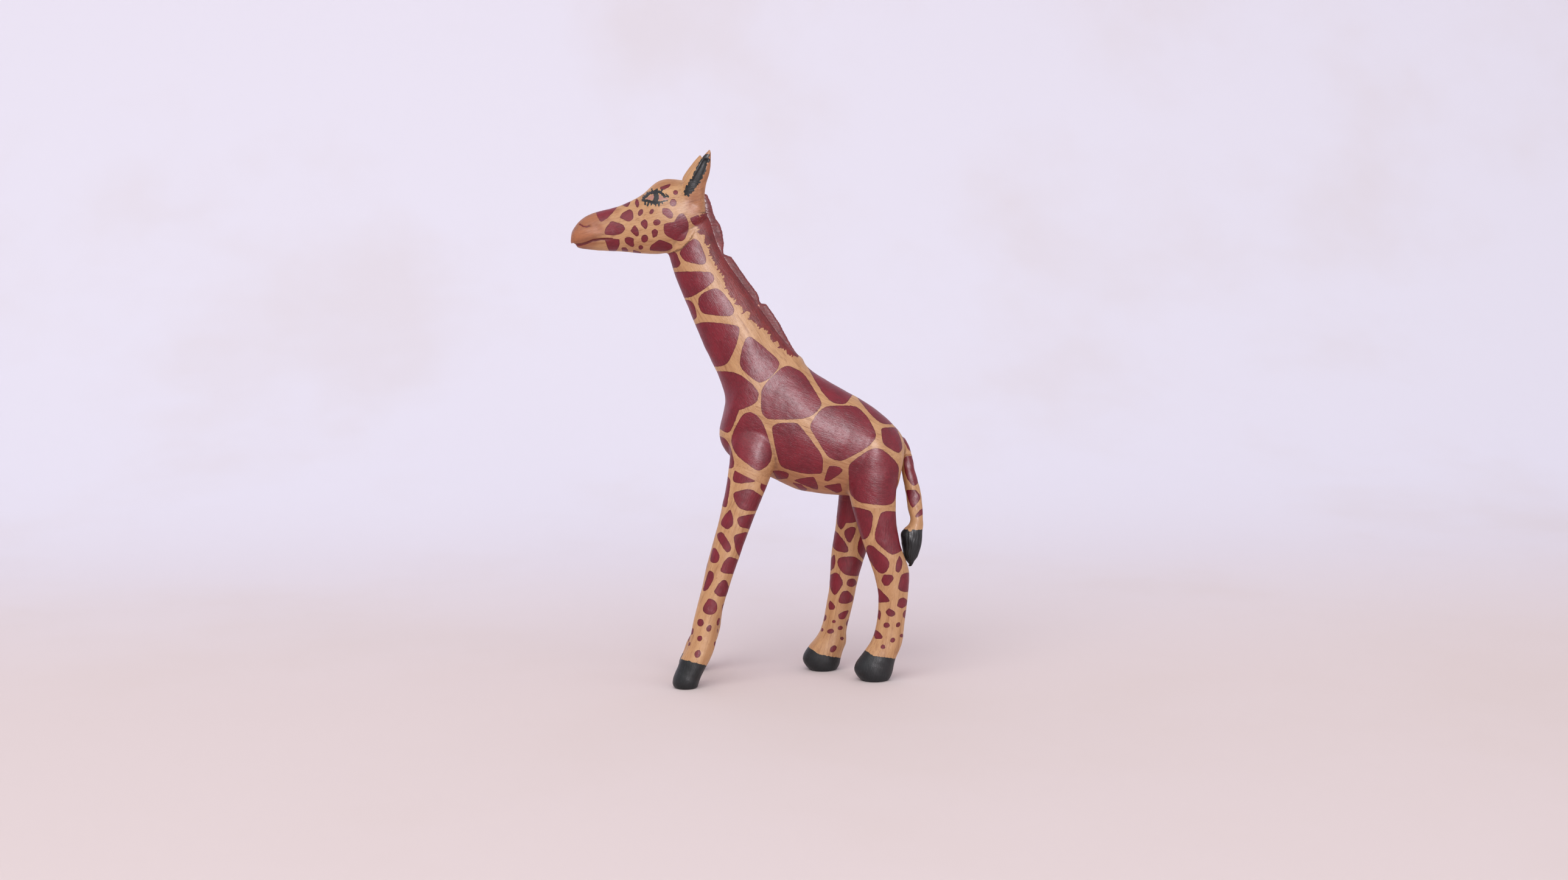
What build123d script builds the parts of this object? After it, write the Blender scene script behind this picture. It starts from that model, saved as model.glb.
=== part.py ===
"""A carved and painted wooden giraffe, about 200 mm tall, made as a glued and pegged assembly.

The nose points along -X, the animal's left side faces -Y and +Z is up. The four soles stand on Z = 0,
and the origin is the middle of the figure's box at that height. Lengths are in millimetres.

The figure is carved as one flowing form and comes apart at flat glue faces. So each form is lofted
whole, and a glue plane shares it out: what lies on one side goes with the limb, and the rest stays on
the body. A peg crosses each glue face.
"""

from build123d import *
import os

os.makedirs("parts", exist_ok=True)

# ---------------------------------------------------------------------------------------------
# Driving dimensions
# ---------------------------------------------------------------------------------------------
BELLY_HEIGHT = 70.0  # lowest point of the belly above the floor
BODY_HALF_WIDTH = 15.0  # the barrel of the body, at its widest
NECK_HALF_WIDTH = 9.0  # half way up the neck
HEAD_HALF_WIDTH = 8.6  # across the eyes

HOOF_HEIGHT = 11.0  # sole to the top of the hoof, in front
FRONT_SPREAD = 14.0  # middle plane to the middle of a front sole
HIND_SPREAD = 9.4  # the same, behind
FRONT_TOP_SPREAD = 8.3  # middle plane to the middle of a front leg at its glue face
HIND_TOP_SPREAD = 8.8
LEG_GIRTH = 1.0  # multiplies every half length and half width of the legs

FRONT_JOINT_HEIGHT = BELLY_HEIGHT + 8.8  # the front glue faces, where their plane passes ...
FRONT_JOINT_X = -15.6  # ... this far along
FRONT_JOINT_SLOPE = 26.5  # degrees, down towards the tail
HIND_JOINT_HEIGHT = BELLY_HEIGHT - 3.0

NECK_PEG_RADIUS = 3.5
NECK_PEG_LENGTH = 28.0

LEG_PEG_RADIUS = 2.25
LEG_PEG_LENGTH = 22.0
HEAD_PEG_RADIUS = 2.25
HEAD_PEG_LENGTH = 18.0
TAIL_PEG_RADIUS = 1.1
TAIL_PEG_LENGTH = 10.0
EAR_PEG_RADIUS = 0.9
EAR_PEG_LENGTH = 8.0
GLUE_GAP = 0.05  # round a peg
PEG_END_GAP = 0.8  # past each end of a peg, where the spare glue goes

MANE_HALF_WIDTH = 2.3
MANE_EDGE_CHAMFER = 0.5
MANE_REBATE = 2.0  # how deep the mane is let into the neck

EAR_HOLLOW_DEPTH = 0.8
EAR_HOLLOW_SHARE = 0.42  # of the ear's length
TAIL_GAP = 0.25  # clear of the buttocks above the tuft

# ---------------------------------------------------------------------------------------------
# The side view. Heights here are above the belly line, so the body stands on its legs.
# Each station is the low point and the high point of a section, and its share of the half width.
# ---------------------------------------------------------------------------------------------
BODY_STATIONS = [
    ((41.0, 8.0), (42.6, 18.5), 0.34),
    ((39.6, 2.4), (41.7, 22.5), 0.62),
    ((37.0, -2.0), (38.8, 26.3), 0.82),
    ((29.0, -1.8), (31.5, 32.7), 0.95),
    ((17.0, 0.0), (21.0, 39.2), 1.00),
    ((6.0, 1.3), (11.0, 45.0), 1.00),
    ((-4.0, 4.9), (3.8, 50.8), 0.95),
    ((-14.0, 9.6), (0.0, 55.2), 0.89),
    ((-22.6, 14.4), (-3.4, 58.8), 0.84),
    ((-27.1, 21.0), (-6.4, 62.4), 0.79),
    ((-26.6, 29.0), (-9.3, 66.4), 0.74),
]
NECK_STATIONS = [
    ((-25.3, 37.4), (-12.2, 70.4), 1.15),
    ((-28.0, 46.2), (-15.3, 75.0), 1.07),
    ((-32.0, 54.8), (-18.4, 79.3), 1.00),
    ((-37.0, 66.6), (-22.5, 85.0), 0.93),
    ((-41.5, 77.6), (-26.3, 91.0), 0.86),
    ((-44.8, 86.8), (-29.4, 98.2), 0.81),
    ((-47.6, 93.6), (-31.4, 105.0), 0.78),
]
HEAD_STATIONS = [
    ((-82.3, 96.0), (-81.9, 98.9), 0.26),
    ((-81.6, 94.6), (-80.4, 101.9), 0.46),
    ((-78.6, 93.6), (-77.0, 105.1), 0.62),
    ((-72.0, 92.8), (-70.2, 107.5), 0.69),
    ((-64.5, 92.4), (-62.2, 109.9), 0.78),
    ((-57.5, 91.7), (-54.4, 114.3), 0.91),
    ((-52.0, 91.4), (-48.6, 118.6), 1.00),
    ((-46.5, 91.8), (-43.4, 118.9), 1.00),
    ((-41.0, 94.4), (-38.6, 117.9), 0.95),
    ((-36.0, 98.8), (-34.6, 115.2), 0.84),
    ((-32.9, 104.0), (-32.4, 111.6), 0.58),
]
NECK_JOINT = ((-26.6, 26.0), (4.2, 51.2))  # the glue line from the chest up to the withers
HEAD_JOINT = ((-48.6, 90.2), (-30.6, 101.7))  # the glue line behind the jaw
LOWER_LIP = (-79.9, 94.8)  # the lower lip stops this far back, under this height

# The mane's outer edge, from the poll down to the withers, with two saw cuts between its locks.
MANE_EDGE = [
    (-33.6, 113.9), (-31.8, 113.2), (-30.5, 110.4), (-29.5, 106.6), (-28.5, 104.0), (-27.2, 102.4),
    (-26.2, 99.5), (-25.5, 95.2), (-25.9, 93.0), (-25.7, 91.2), (-22.8, 90.3), (-20.0, 86.2),
    (-16.0, 80.4), (-13.1, 76.6), (-12.4, 74.8), (-12.3, 73.6), (-11.5, 72.8), (-9.7, 72.5),
    (-8.0, 70.0), (-5.0, 65.6), (-2.0, 60.0), (0.0, 56.4), (3.0, 51.9),
]
# Where the mane meets the head: its inner edge, above the neck's.
MANE_POLL = [(-35.2, 113.0), (-34.6, 108.6)]

# Tail, from the rump down: height above the belly line, x, half length and half width.
TAIL_STATIONS = [
    (21.5, 41.2, 1.8, 2.2),
    (17.0, 42.8, 2.3, 2.8),
    (12.0, 43.9, 2.4, 2.9),
    (6.0, 44.9, 2.7, 3.0),
    (0.0, 46.0, 2.9, 3.0),
    (-6.0, 46.5, 2.7, 2.8),
    (-11.0, 46.4, 2.7, 2.7),
    (-13.0, 45.3, 3.8, 3.3),
    (-17.0, 44.9, 4.0, 3.6),
    (-21.0, 44.8, 3.3, 3.2),
    (-24.5, 44.5, 1.9, 2.0),
    (-27.0, 44.1, 0.7, 0.8),
]
TAIL_JOINT_HEIGHT = 15.0  # above the belly line
TUFT_TOP = -12.0

# An ear, from the skull up: height, x, distance from the middle plane, half length and half width.
# The height is above the belly line.
EAR_STATIONS = [
    (109.0, -37.4, 4.6, 4.2, 2.6),
    (114.0, -37.4, 5.5, 4.6, 2.9),
    (118.2, -36.5, 6.2, 4.4, 2.8),
    (120.6, -35.4, 6.7, 4.0, 2.5),
    (123.6, -33.9, 7.2, 3.1, 2.0),
    (126.4, -32.6, 7.7, 1.9, 1.3),
    (129.6, -31.2, 8.2, 0.3, 0.3),
]
EAR_JOINT_HEIGHT = 118.3
EAR_LEAN = {"left": 0.0, "right": -2.4}  # how far the tip leans towards the nose
EAR_DROP = {"left": 0.0, "right": 1.8}  # how much lower the tip is

# Hooves: share of the hoof's height, x from the middle of the sole, half length and half width.
FRONT_HOOF = [
    (0.00, 0.0, 4.0, 3.8),
    (0.12, -0.2, 4.9, 4.7),
    (0.34, 0.3, 5.2, 5.0),
    (0.68, 2.1, 5.3, 5.0),
    (1.00, 3.7, 5.6, 5.0),
]
HIND_HOOF = [
    (0.00, 0.0, 5.2, 4.4),
    (0.12, -0.1, 6.3, 5.3),
    (0.36, -0.4, 7.4, 5.7),
    (0.66, 0.5, 7.3, 5.6),
    (0.96, 2.4, 6.7, 5.3),
]
# Legs above the hoof: share of the way from the hoof to the glue face, x from the middle of the
# sole, half length and half width. Past 1 the form runs on inside the body.
FRONT_LEG = [
    (0.06, 5.6, 5.3, 4.6),
    (0.17, 7.4, 5.0, 4.3),
    (0.32, 10.0, 4.95, 4.3),
    (0.51, 13.8, 5.5, 4.8),
    (0.68, 17.5, 6.0, 5.4),
    (0.85, 21.3, 7.0, 6.0),
    (1.00, 24.4, 8.2, 6.5),
    (1.13, 26.0, 8.9, 6.4),
    (1.25, 27.2, 7.6, 4.6),
]
HIND_LEG = [
    (0.06, 4.4, 6.0, 5.0),
    (0.17, 5.8, 5.4, 4.7),
    (0.29, 6.7, 5.4, 4.7),
    (0.43, 6.9, 5.95, 5.0),
    (0.57, 5.8, 6.9, 5.3),
    (0.69, 3.4, 6.9, 5.6),
    (0.84, 1.0, 7.4, 6.0),
    (1.00, -0.6, 8.5, 6.6),
    (1.17, -1.2, 9.2, 7.0),
    (1.34, -1.3, 8.6, 6.6),
    (1.48, -1.7, 6.4, 4.8),
]
FORWARD_HIND_LEG = [
    (0.07, 4.0, 5.2, 4.8),
    (0.18, 5.5, 5.0, 4.6),
    (0.33, 7.2, 5.15, 4.7),
    (0.49, 8.6, 5.8, 5.0),
    (0.61, 9.8, 6.6, 5.3),
    (0.75, 11.7, 7.4, 5.7),
    (0.90, 13.4, 8.2, 6.2),
    (1.02, 14.6, 8.8, 6.6),
    (1.18, 16.0, 9.2, 6.9),
    (1.34, 16.9, 8.6, 6.4),
    (1.48, 17.2, 6.4, 4.8),
]

# Each leg: which side, where its sole is, and its forms. The legs are a walking stance.
LEGS = {
    "left_front": (-1, -41.3, FRONT_SPREAD, FRONT_TOP_SPREAD, FRONT_HOOF, FRONT_LEG, "front"),
    "right_front": (1, -39.0, FRONT_SPREAD, FRONT_TOP_SPREAD, FRONT_HOOF, FRONT_LEG, "front"),
    "left_hind": (-1, 30.6, HIND_SPREAD, HIND_TOP_SPREAD, HIND_HOOF, HIND_LEG, "hind"),
    "right_hind": (1, 13.0, HIND_SPREAD, HIND_TOP_SPREAD, HIND_HOOF, FORWARD_HIND_LEG, "hind"),
}


# ---------------------------------------------------------------------------------------------
# Sections and forms
# ---------------------------------------------------------------------------------------------
def above_belly(point):
    """A point of the side view as a place in space, on the middle plane."""
    return Vector(point[0], 0, BELLY_HEIGHT + point[1])


def chord_section(low, high, half_width):
    """An upright section between two points of the side view: its plane, half height, half width."""
    start, end = above_belly(low), above_belly(high)
    chord = end - start
    across = chord.cross(Vector(0, 1, 0))
    return Plane((start + end) / 2, x_dir=chord, z_dir=across), chord.length / 2, half_width


def level_section(centre, half_length, half_width):
    """A horizontal section."""
    return Plane(centre), half_length, half_width


def carved_form(sections, clearance=0):
    """A smooth form through oval sections, made larger all round by a clearance."""
    with BuildPart() as form:
        for plane, half_length, half_width in sections:
            with BuildSketch(plane):
                Ellipse(half_length + clearance, half_width + clearance)
        loft()
    return form.part


def half_of(form, plane, keep):
    """The part of a form on one side of a glue plane."""
    with BuildPart() as half:
        add(form)
        split(bisect_by=plane, keep=keep)
    return half.part


def side_plane(low, high):
    """A glue plane square to the middle plane, through two points of the side view. It faces up."""
    start, end = above_belly(low), above_belly(high)
    return Plane((start + end) / 2, x_dir=(0, 1, 0), z_dir=(end - start).cross(Vector(0, 1, 0)))


def peg(place, direction, radius, length):
    """A round peg with its middle at a place."""
    with BuildPart(Plane(place, z_dir=direction)) as made:
        Cylinder(radius, length)
    return made.part


def peg_bore(place, direction, radius, length):
    """The hole for a peg, with room for glue."""
    return peg(place, direction, radius + GLUE_GAP, length + 2 * PEG_END_GAP)


# ---------------------------------------------------------------------------------------------
# Glue planes
# ---------------------------------------------------------------------------------------------
front_joint = Plane((FRONT_JOINT_X, 0, FRONT_JOINT_HEIGHT)).rotated((0, FRONT_JOINT_SLOPE, 0))
hind_joint = Plane((0, 0, HIND_JOINT_HEIGHT))
neck_joint = side_plane(*NECK_JOINT)
head_joint = side_plane(*HEAD_JOINT)
tail_joint = Plane((0, 0, BELLY_HEIGHT + TAIL_JOINT_HEIGHT))
ear_joint = Plane((0, 0, BELLY_HEIGHT + EAR_JOINT_HEIGHT))
JOINTS = {"front": front_joint, "hind": hind_joint}
JOINT_HEIGHTS = {"front": FRONT_JOINT_HEIGHT, "hind": HIND_JOINT_HEIGHT}


# ---------------------------------------------------------------------------------------------
# Whole forms, before they are shared out
# ---------------------------------------------------------------------------------------------
def leg_sections(side, sole_x, spread, top_spread, hoof, leg, joint):
    """The sections of a leg from the sole up, leaning in from the hoof to the glue face."""
    reach = JOINT_HEIGHTS[joint] - HOOF_HEIGHT
    heights = [(share * HOOF_HEIGHT, *rest) for share, *rest in hoof]
    heights += [(HOOF_HEIGHT + share * reach, *rest) for share, *rest in leg]
    sections = []
    for height, x, half_length, half_width in heights:
        out = spread + (top_spread - spread) * height / JOINT_HEIGHTS[joint]
        centre = (sole_x + x, side * out, height)
        sections.append(level_section(centre, half_length * LEG_GIRTH, half_width * LEG_GIRTH))
    return sections


def centre_at(sections, height):
    """Where a leg's or an ear's middle line passes a height."""
    for (low, *_), (high, *_) in zip(sections, sections[1:]):
        if low.origin.Z <= height <= high.origin.Z:
            share = (height - low.origin.Z) / (high.origin.Z - low.origin.Z)
            return low.origin + (high.origin - low.origin) * share
    raise ValueError(f"the middle line doesn't reach {height}")


body_form = carved_form(
    [chord_section(low, high, share * BODY_HALF_WIDTH) for low, high, share in BODY_STATIONS]
    + [chord_section(low, high, share * NECK_HALF_WIDTH) for low, high, share in NECK_STATIONS]
)
head_form = carved_form(
    [chord_section(low, high, share * HEAD_HALF_WIDTH) for low, high, share in HEAD_STATIONS]
)
leg_stations = {name: leg_sections(*spec) for name, spec in LEGS.items()}
leg_forms = {name: carved_form(sections) for name, sections in leg_stations.items()}

# The tail swings towards the left hind leg, so that its tuft rests on the back of the hock.
hock = centre_at(leg_stations["left_hind"], BELLY_HEIGHT - 20)
TUFT_SWING = hock.Y + 2.6
tail_sections = []
for height, x, half_length, half_width in TAIL_STATIONS:
    share = min(1, max(0, (TAIL_JOINT_HEIGHT - height) / (TAIL_JOINT_HEIGHT - TUFT_TOP)))
    swing = TUFT_SWING * share * share * (3 - 2 * share)
    tail_sections.append(
        level_section((x, swing, BELLY_HEIGHT + height), half_length, half_width)
    )
tail_sections.reverse()
tail_form = carved_form(tail_sections)
tail_room = carved_form(tail_sections, TAIL_GAP)
haunch_room = carved_form(leg_stations["left_hind"], TAIL_GAP)

ear_sections = {}
for name, side in (("left", -1), ("right", 1)):
    tip = EAR_STATIONS[-1][0]
    ear_sections[name] = []
    for height, x, out, half_length, half_width in EAR_STATIONS:
        share = max(0, (height - EAR_JOINT_HEIGHT) / (tip - EAR_JOINT_HEIGHT))
        centre = (
            x + EAR_LEAN[name] * share,
            side * out,
            BELLY_HEIGHT + height - EAR_DROP[name] * share,
        )
        ear_sections[name].append(level_section(centre, half_length, half_width))
ear_forms = {name: carved_form(sections) for name, sections in ear_sections.items()}

# Each ear is hollowed on its outer face, from the skull nearly to the tip.
ear_hollows = {}
for name, side in (("left", -1), ("right", 1)):
    grooves = []
    for plane, half_length, half_width in ear_sections[name][:-1]:
        outer_face = plane.origin + Vector(0, side * half_width, 0)
        grooves.append(level_section(outer_face, half_length * EAR_HOLLOW_SHARE, EAR_HOLLOW_DEPTH))
    ear_hollows[name] = carved_form(grooves)


mane_inner_edge = [above_belly(point) for point in MANE_POLL]
for low, high, _ in list(reversed(BODY_STATIONS[4:] + NECK_STATIONS)):
    start, end = above_belly(low), above_belly(high)
    mane_inner_edge.append(end - (end - start).normalized() * MANE_REBATE)


# ---------------------------------------------------------------------------------------------
# Pegs, each on the middle line of what it joins
# ---------------------------------------------------------------------------------------------
def along(sections, height):
    """The way a middle line runs as it passes a height."""
    return (centre_at(sections, height + 3) - centre_at(sections, height - 3)).normalized()


def joint_middle(line):
    """The middle of a glue line of the side view."""
    return (above_belly(line[0]) + above_belly(line[1])) / 2


PEGS = {
    "neck_peg": (joint_middle(NECK_JOINT), neck_joint.z_dir, NECK_PEG_RADIUS, NECK_PEG_LENGTH),
    "head_peg": (joint_middle(HEAD_JOINT), head_joint.z_dir, HEAD_PEG_RADIUS, HEAD_PEG_LENGTH),
}
for name, sections in leg_stations.items():
    kind = LEGS[name][-1]
    middle = centre_at(sections, JOINT_HEIGHTS[kind])
    PEGS[name + "_peg"] = (middle, JOINTS[kind].z_dir, LEG_PEG_RADIUS, LEG_PEG_LENGTH)
tail_height = BELLY_HEIGHT + TAIL_JOINT_HEIGHT
PEGS["tail_peg"] = (
    centre_at(tail_sections, tail_height),
    along(tail_sections, tail_height),
    TAIL_PEG_RADIUS,
    TAIL_PEG_LENGTH,
)
for name, sections in ear_sections.items():
    height = BELLY_HEIGHT + EAR_JOINT_HEIGHT
    middle = centre_at(sections, height)
    PEGS[f"{name}_ear_peg"] = (middle, along(sections, height), EAR_PEG_RADIUS, EAR_PEG_LENGTH)
bores = {name: peg_bore(*spec) for name, spec in PEGS.items()}

# ---------------------------------------------------------------------------------------------
# The pieces
# ---------------------------------------------------------------------------------------------
pieces = {}

with BuildPart() as mane:
    with BuildSketch(Plane.XZ):
        with BuildLine():
            inner = [(point.X, point.Z) for point in mane_inner_edge if point.X < MANE_EDGE[-1][0]]
            outer = [(x, BELLY_HEIGHT + height) for x, height in MANE_EDGE]
            back = Spline(inner)
            edge = Polyline(outer)
            Line(back @ 0, edge @ 0)
            Line(back @ 1, edge @ 1)
        make_face()
    extrude(amount=MANE_HALF_WIDTH, both=True)
    sides = mane.faces().filter_by(Plane.XZ)
    chamfer(sides.edges().filter_by(GeomType.LINE), MANE_EDGE_CHAMFER)
pieces["mane"] = mane.part

with BuildPart() as torso:
    add(half_of(body_form, neck_joint, Keep.BOTTOM))
    add(half_of(tail_form, tail_joint, Keep.TOP))
    for name, form in leg_forms.items():
        add(half_of(form, JOINTS[LEGS[name][-1]], Keep.TOP))
    add([bores[name + "_peg"] for name in LEGS], mode=Mode.SUBTRACT)
    add([bores["neck_peg"], bores["tail_peg"], mane.part], mode=Mode.SUBTRACT)
    add(half_of(tail_room, tail_joint, Keep.BOTTOM), mode=Mode.SUBTRACT)
pieces["torso"] = torso.part

with BuildPart() as neck:
    add(half_of(half_of(body_form, neck_joint, Keep.TOP), head_joint, Keep.BOTTOM))
    add(half_of(head_form, head_joint, Keep.BOTTOM))
    add([bores["neck_peg"], bores["head_peg"], mane.part], mode=Mode.SUBTRACT)
pieces["neck"] = neck.part

with BuildPart() as head:
    add([half_of(form, head_joint, Keep.TOP) for form in (head_form, body_form)])
    for form in ear_forms.values():
        add(half_of(form, ear_joint, Keep.BOTTOM))
    with Locations(above_belly(LOWER_LIP)):
        Box(20, 40, 20, align=(Align.MAX, Align.CENTER, Align.MAX), mode=Mode.SUBTRACT)
    add([bores["head_peg"], bores["left_ear_peg"], bores["right_ear_peg"]], mode=Mode.SUBTRACT)
    add([mane.part, *ear_hollows.values()], mode=Mode.SUBTRACT)
pieces["head"] = head.part

for name, form in ear_forms.items():
    with BuildPart() as ear:
        add(half_of(form, ear_joint, Keep.TOP))
        add([ear_hollows[name], bores[name + "_ear_peg"]], mode=Mode.SUBTRACT)
    pieces[name + "_ear"] = ear.part

for name, form in leg_forms.items():
    with BuildPart() as leg:
        add(half_of(form, JOINTS[LEGS[name][-1]], Keep.BOTTOM))
        add(bores[name + "_peg"], mode=Mode.SUBTRACT)
    pieces[name + "_leg"] = leg.part

with BuildPart() as tail:
    add(half_of(tail_form, tail_joint, Keep.BOTTOM))
    add([haunch_room, bores["tail_peg"]], mode=Mode.SUBTRACT)
pieces["tail"] = tail.part

for name, spec in PEGS.items():
    pieces[name] = peg(*spec)

# ---------------------------------------------------------------------------------------------
# Stand the figure over the origin and write the pieces out
# ---------------------------------------------------------------------------------------------
box = Compound([solid for piece in pieces.values() for solid in piece.solids()]).bounding_box()
to_origin = Location((-box.center().X, -box.center().Y, -box.min.Z))
for name, piece in pieces.items():
    placed = piece.moved(to_origin)
    placed.label = name
    export_step(placed, f"parts/{name}.step")
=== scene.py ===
# %% [markdown]
# # A carved and painted wooden giraffe
# The figure is carved from pale wood, glued up from a few pieces, painted by hand with dark red patches
# and finished with a thin varnish. This lesson starts from the fixed frame: one closed solid for each
# wooden piece. Every step adds something that a carver or a painter would have done.

# %% Open the frame
import math

import bmesh
import bpy
import numpy as np
from mathutils import Matrix, Vector


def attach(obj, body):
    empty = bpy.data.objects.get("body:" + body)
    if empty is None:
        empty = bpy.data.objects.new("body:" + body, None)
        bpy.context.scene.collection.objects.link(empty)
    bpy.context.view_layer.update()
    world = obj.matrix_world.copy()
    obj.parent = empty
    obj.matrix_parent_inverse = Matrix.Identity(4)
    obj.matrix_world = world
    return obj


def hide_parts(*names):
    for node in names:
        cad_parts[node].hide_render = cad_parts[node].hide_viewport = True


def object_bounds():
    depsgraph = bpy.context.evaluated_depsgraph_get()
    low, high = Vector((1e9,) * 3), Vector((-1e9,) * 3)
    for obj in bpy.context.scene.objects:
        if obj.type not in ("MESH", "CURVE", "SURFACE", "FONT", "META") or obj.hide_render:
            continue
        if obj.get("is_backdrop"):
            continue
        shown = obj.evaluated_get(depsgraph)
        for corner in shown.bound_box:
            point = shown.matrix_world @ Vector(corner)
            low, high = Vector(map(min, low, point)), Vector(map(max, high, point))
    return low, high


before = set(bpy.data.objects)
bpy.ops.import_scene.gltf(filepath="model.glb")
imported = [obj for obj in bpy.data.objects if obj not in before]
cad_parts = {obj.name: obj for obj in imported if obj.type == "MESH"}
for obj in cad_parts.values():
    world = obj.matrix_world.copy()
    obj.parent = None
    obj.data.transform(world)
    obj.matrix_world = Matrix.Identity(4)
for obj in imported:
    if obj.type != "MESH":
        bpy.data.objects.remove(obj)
frame_box = [list(map(float, corner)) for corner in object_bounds()]
print("pieces in the frame:", len(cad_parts))

# %% [markdown]
# ## Where the figure is looked at from
# A camera is a place, a direction and a lens. It looks at the giraffe's left side, a little from the
# front and a little from above. All carving and painting below is in millimetres, so we keep the eye's
# place in millimetres too. A long lens from 80 cm away keeps the legs nearly upright, as a shorter one
# close by would splay them.

# %% Camera
EYE = Vector((-67.4, -798.8, 198.1))
AIM = Vector((13.5, 0.0, 91.15))
LENS = 49.28

look = (AIM - EYE).normalized()
level = look.cross(Vector((0, 0, 1))).normalized()
rise = level.cross(look)
camera = bpy.data.objects.new("camera", bpy.data.cameras.new("camera"))
bpy.context.scene.collection.objects.link(camera)
camera.data.lens = LENS
camera.data.sensor_width = 36
camera.data.clip_start = 0.01
turn = Matrix((level, rise, -look)).transposed()
camera.matrix_world = Matrix.Translation(EYE / 1000) @ turn.to_4x4()
bpy.context.scene.camera = camera
print("eye to figure, mm:", round((AIM - EYE).length))

# %% [markdown]
# ## The side drawing
# A painter sets out the patches on a side drawing of the animal before touching the wood. Here the
# drawing is the figure as it is seen from the eye: every point of the wood falls on one place (u, v)
# of a sheet, in millimetres, with u running to the tail and v up. The other side of the figure uses the
# same sheet, folded over the middle plane.

# %% From the wood to the side drawing
SHEET_SCALE = (797.7, 807.6)
SHEET_ORIGIN = (-2.71, 90.7)


def on_sheet(points, folded=True):
    """Places on the side drawing of points given in millimetres."""
    seen = np.array(points, float)
    if folded:
        seen[:, 1] = -np.abs(seen[:, 1])
    seen -= np.array(EYE)
    depth = seen @ np.array(look)
    u = SHEET_SCALE[0] * (seen @ np.array(level)) / depth + SHEET_ORIGIN[0]
    v = SHEET_SCALE[1] * (seen @ np.array(rise)) / depth + SHEET_ORIGIN[1]
    return np.stack([u, v], 1)


# %% [markdown]
# ## One skin over the whole carving
# The carver shapes the figure after glue-up, so the surface runs over the joints without a step. We join
# copies of the pieces and wrap them in one even skin with Blender's voxel remesh. Then the skin is
# relaxed, which rounds the creases where the legs meet the body, as rasps and sandpaper do.

# %% Wrap the pieces in a skin
BODY_PIECES = ["torso", "neck", "head", "left_ear", "right_ear"]
BODY_PIECES += [f"{side}_{end}_leg" for side in ("left", "right") for end in ("front", "hind")]
GRID = 0.34  # mm between points of the skin


def mesh_object(name, points, faces):
    mesh = bpy.data.meshes.new(name)
    mesh.from_pydata([tuple(p) for p in points], [], faces)
    thing = bpy.data.objects.new(name, mesh)
    bpy.context.scene.collection.objects.link(thing)
    return thing


def skin_over(names, grid):
    """One closed skin over copies of some pieces, in millimetres."""
    joined = bmesh.new()
    for name in names:
        joined.from_mesh(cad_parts[name].data)
    bmesh.ops.scale(joined, vec=(1000, 1000, 1000), verts=joined.verts)
    mesh = bpy.data.meshes.new("joined")
    joined.to_mesh(mesh)
    joined.free()
    rough = bpy.data.objects.new("joined", mesh)
    bpy.context.scene.collection.objects.link(rough)
    wrap = rough.modifiers.new("wrap", "REMESH")
    wrap.mode = "VOXEL"
    wrap.voxel_size = grid
    wrapped = rough.evaluated_get(bpy.context.evaluated_depsgraph_get())
    skin = bpy.data.meshes.new_from_object(wrapped)
    bpy.data.objects.remove(rough)
    return skin


def read_points(mesh):
    flat = np.empty(len(mesh.vertices) * 3, np.float32)
    mesh.vertices.foreach_get("co", flat)
    return flat.reshape(-1, 3).astype(float)


def write_points(mesh, points):
    mesh.vertices.foreach_set("co", points.astype(np.float32).ravel())
    mesh.update()


def read_normals(mesh):
    flat = np.empty(len(mesh.vertices) * 3, np.float32)
    mesh.vertex_normals.foreach_get("vector", flat)
    return flat.reshape(-1, 3).astype(float)


def read_edges(mesh):
    flat = np.empty(len(mesh.edges) * 2, np.int32)
    mesh.edges.foreach_get("vertices", flat)
    return flat.reshape(-1, 2)


def relax(values, edges, rounds, share=0.5):
    """Moves every value part of the way to the middle of its neighbours, many times."""
    values = values.copy()
    one, two = edges[:, 0], edges[:, 1]
    count = np.bincount(one, minlength=len(values)) + np.bincount(two, minlength=len(values))
    count = np.maximum(count, 1)
    share = np.broadcast_to(share, len(values))
    for _ in range(rounds):
        for axis in range(values.shape[1]):
            column = values[:, axis]
            total = np.bincount(one, column[two], len(values))
            total += np.bincount(two, column[one], len(values))
            values[:, axis] = column + share * (total / count - column)
    return values


skin = skin_over(BODY_PIECES, GRID)
print("skin points:", len(skin.vertices))

# %% [markdown]
# Relaxing has to be stronger in the creases than on thin parts such as the ears, or they would melt
# away. So each point gets its own share: full at the shoulders, the haunches and the ears' roots, little
# on the ears, and none at the soles, which stay flat. At the end the far front foot is bent a little
# further back, so that from the drawing's side it stands behind the near one.

# %% Sand the creases
def ramp(values, low, high):
    """0 below low, 1 above high and a soft step between them."""
    t = np.clip((values - low) / (high - low), 0, 1)
    return t * t * (3 - 2 * t)


def hump(values, centre, reach):
    """1 at the centre, falling softly to 0 at a reach from it."""
    return 1 - ramp(np.abs(values - centre), 0, reach)


FOOT_MOVE = 1.6  # mm, how far back the far front foot is bent
FOOT_TOP = 45  # mm above the floor, where the bend has faded out

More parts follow.
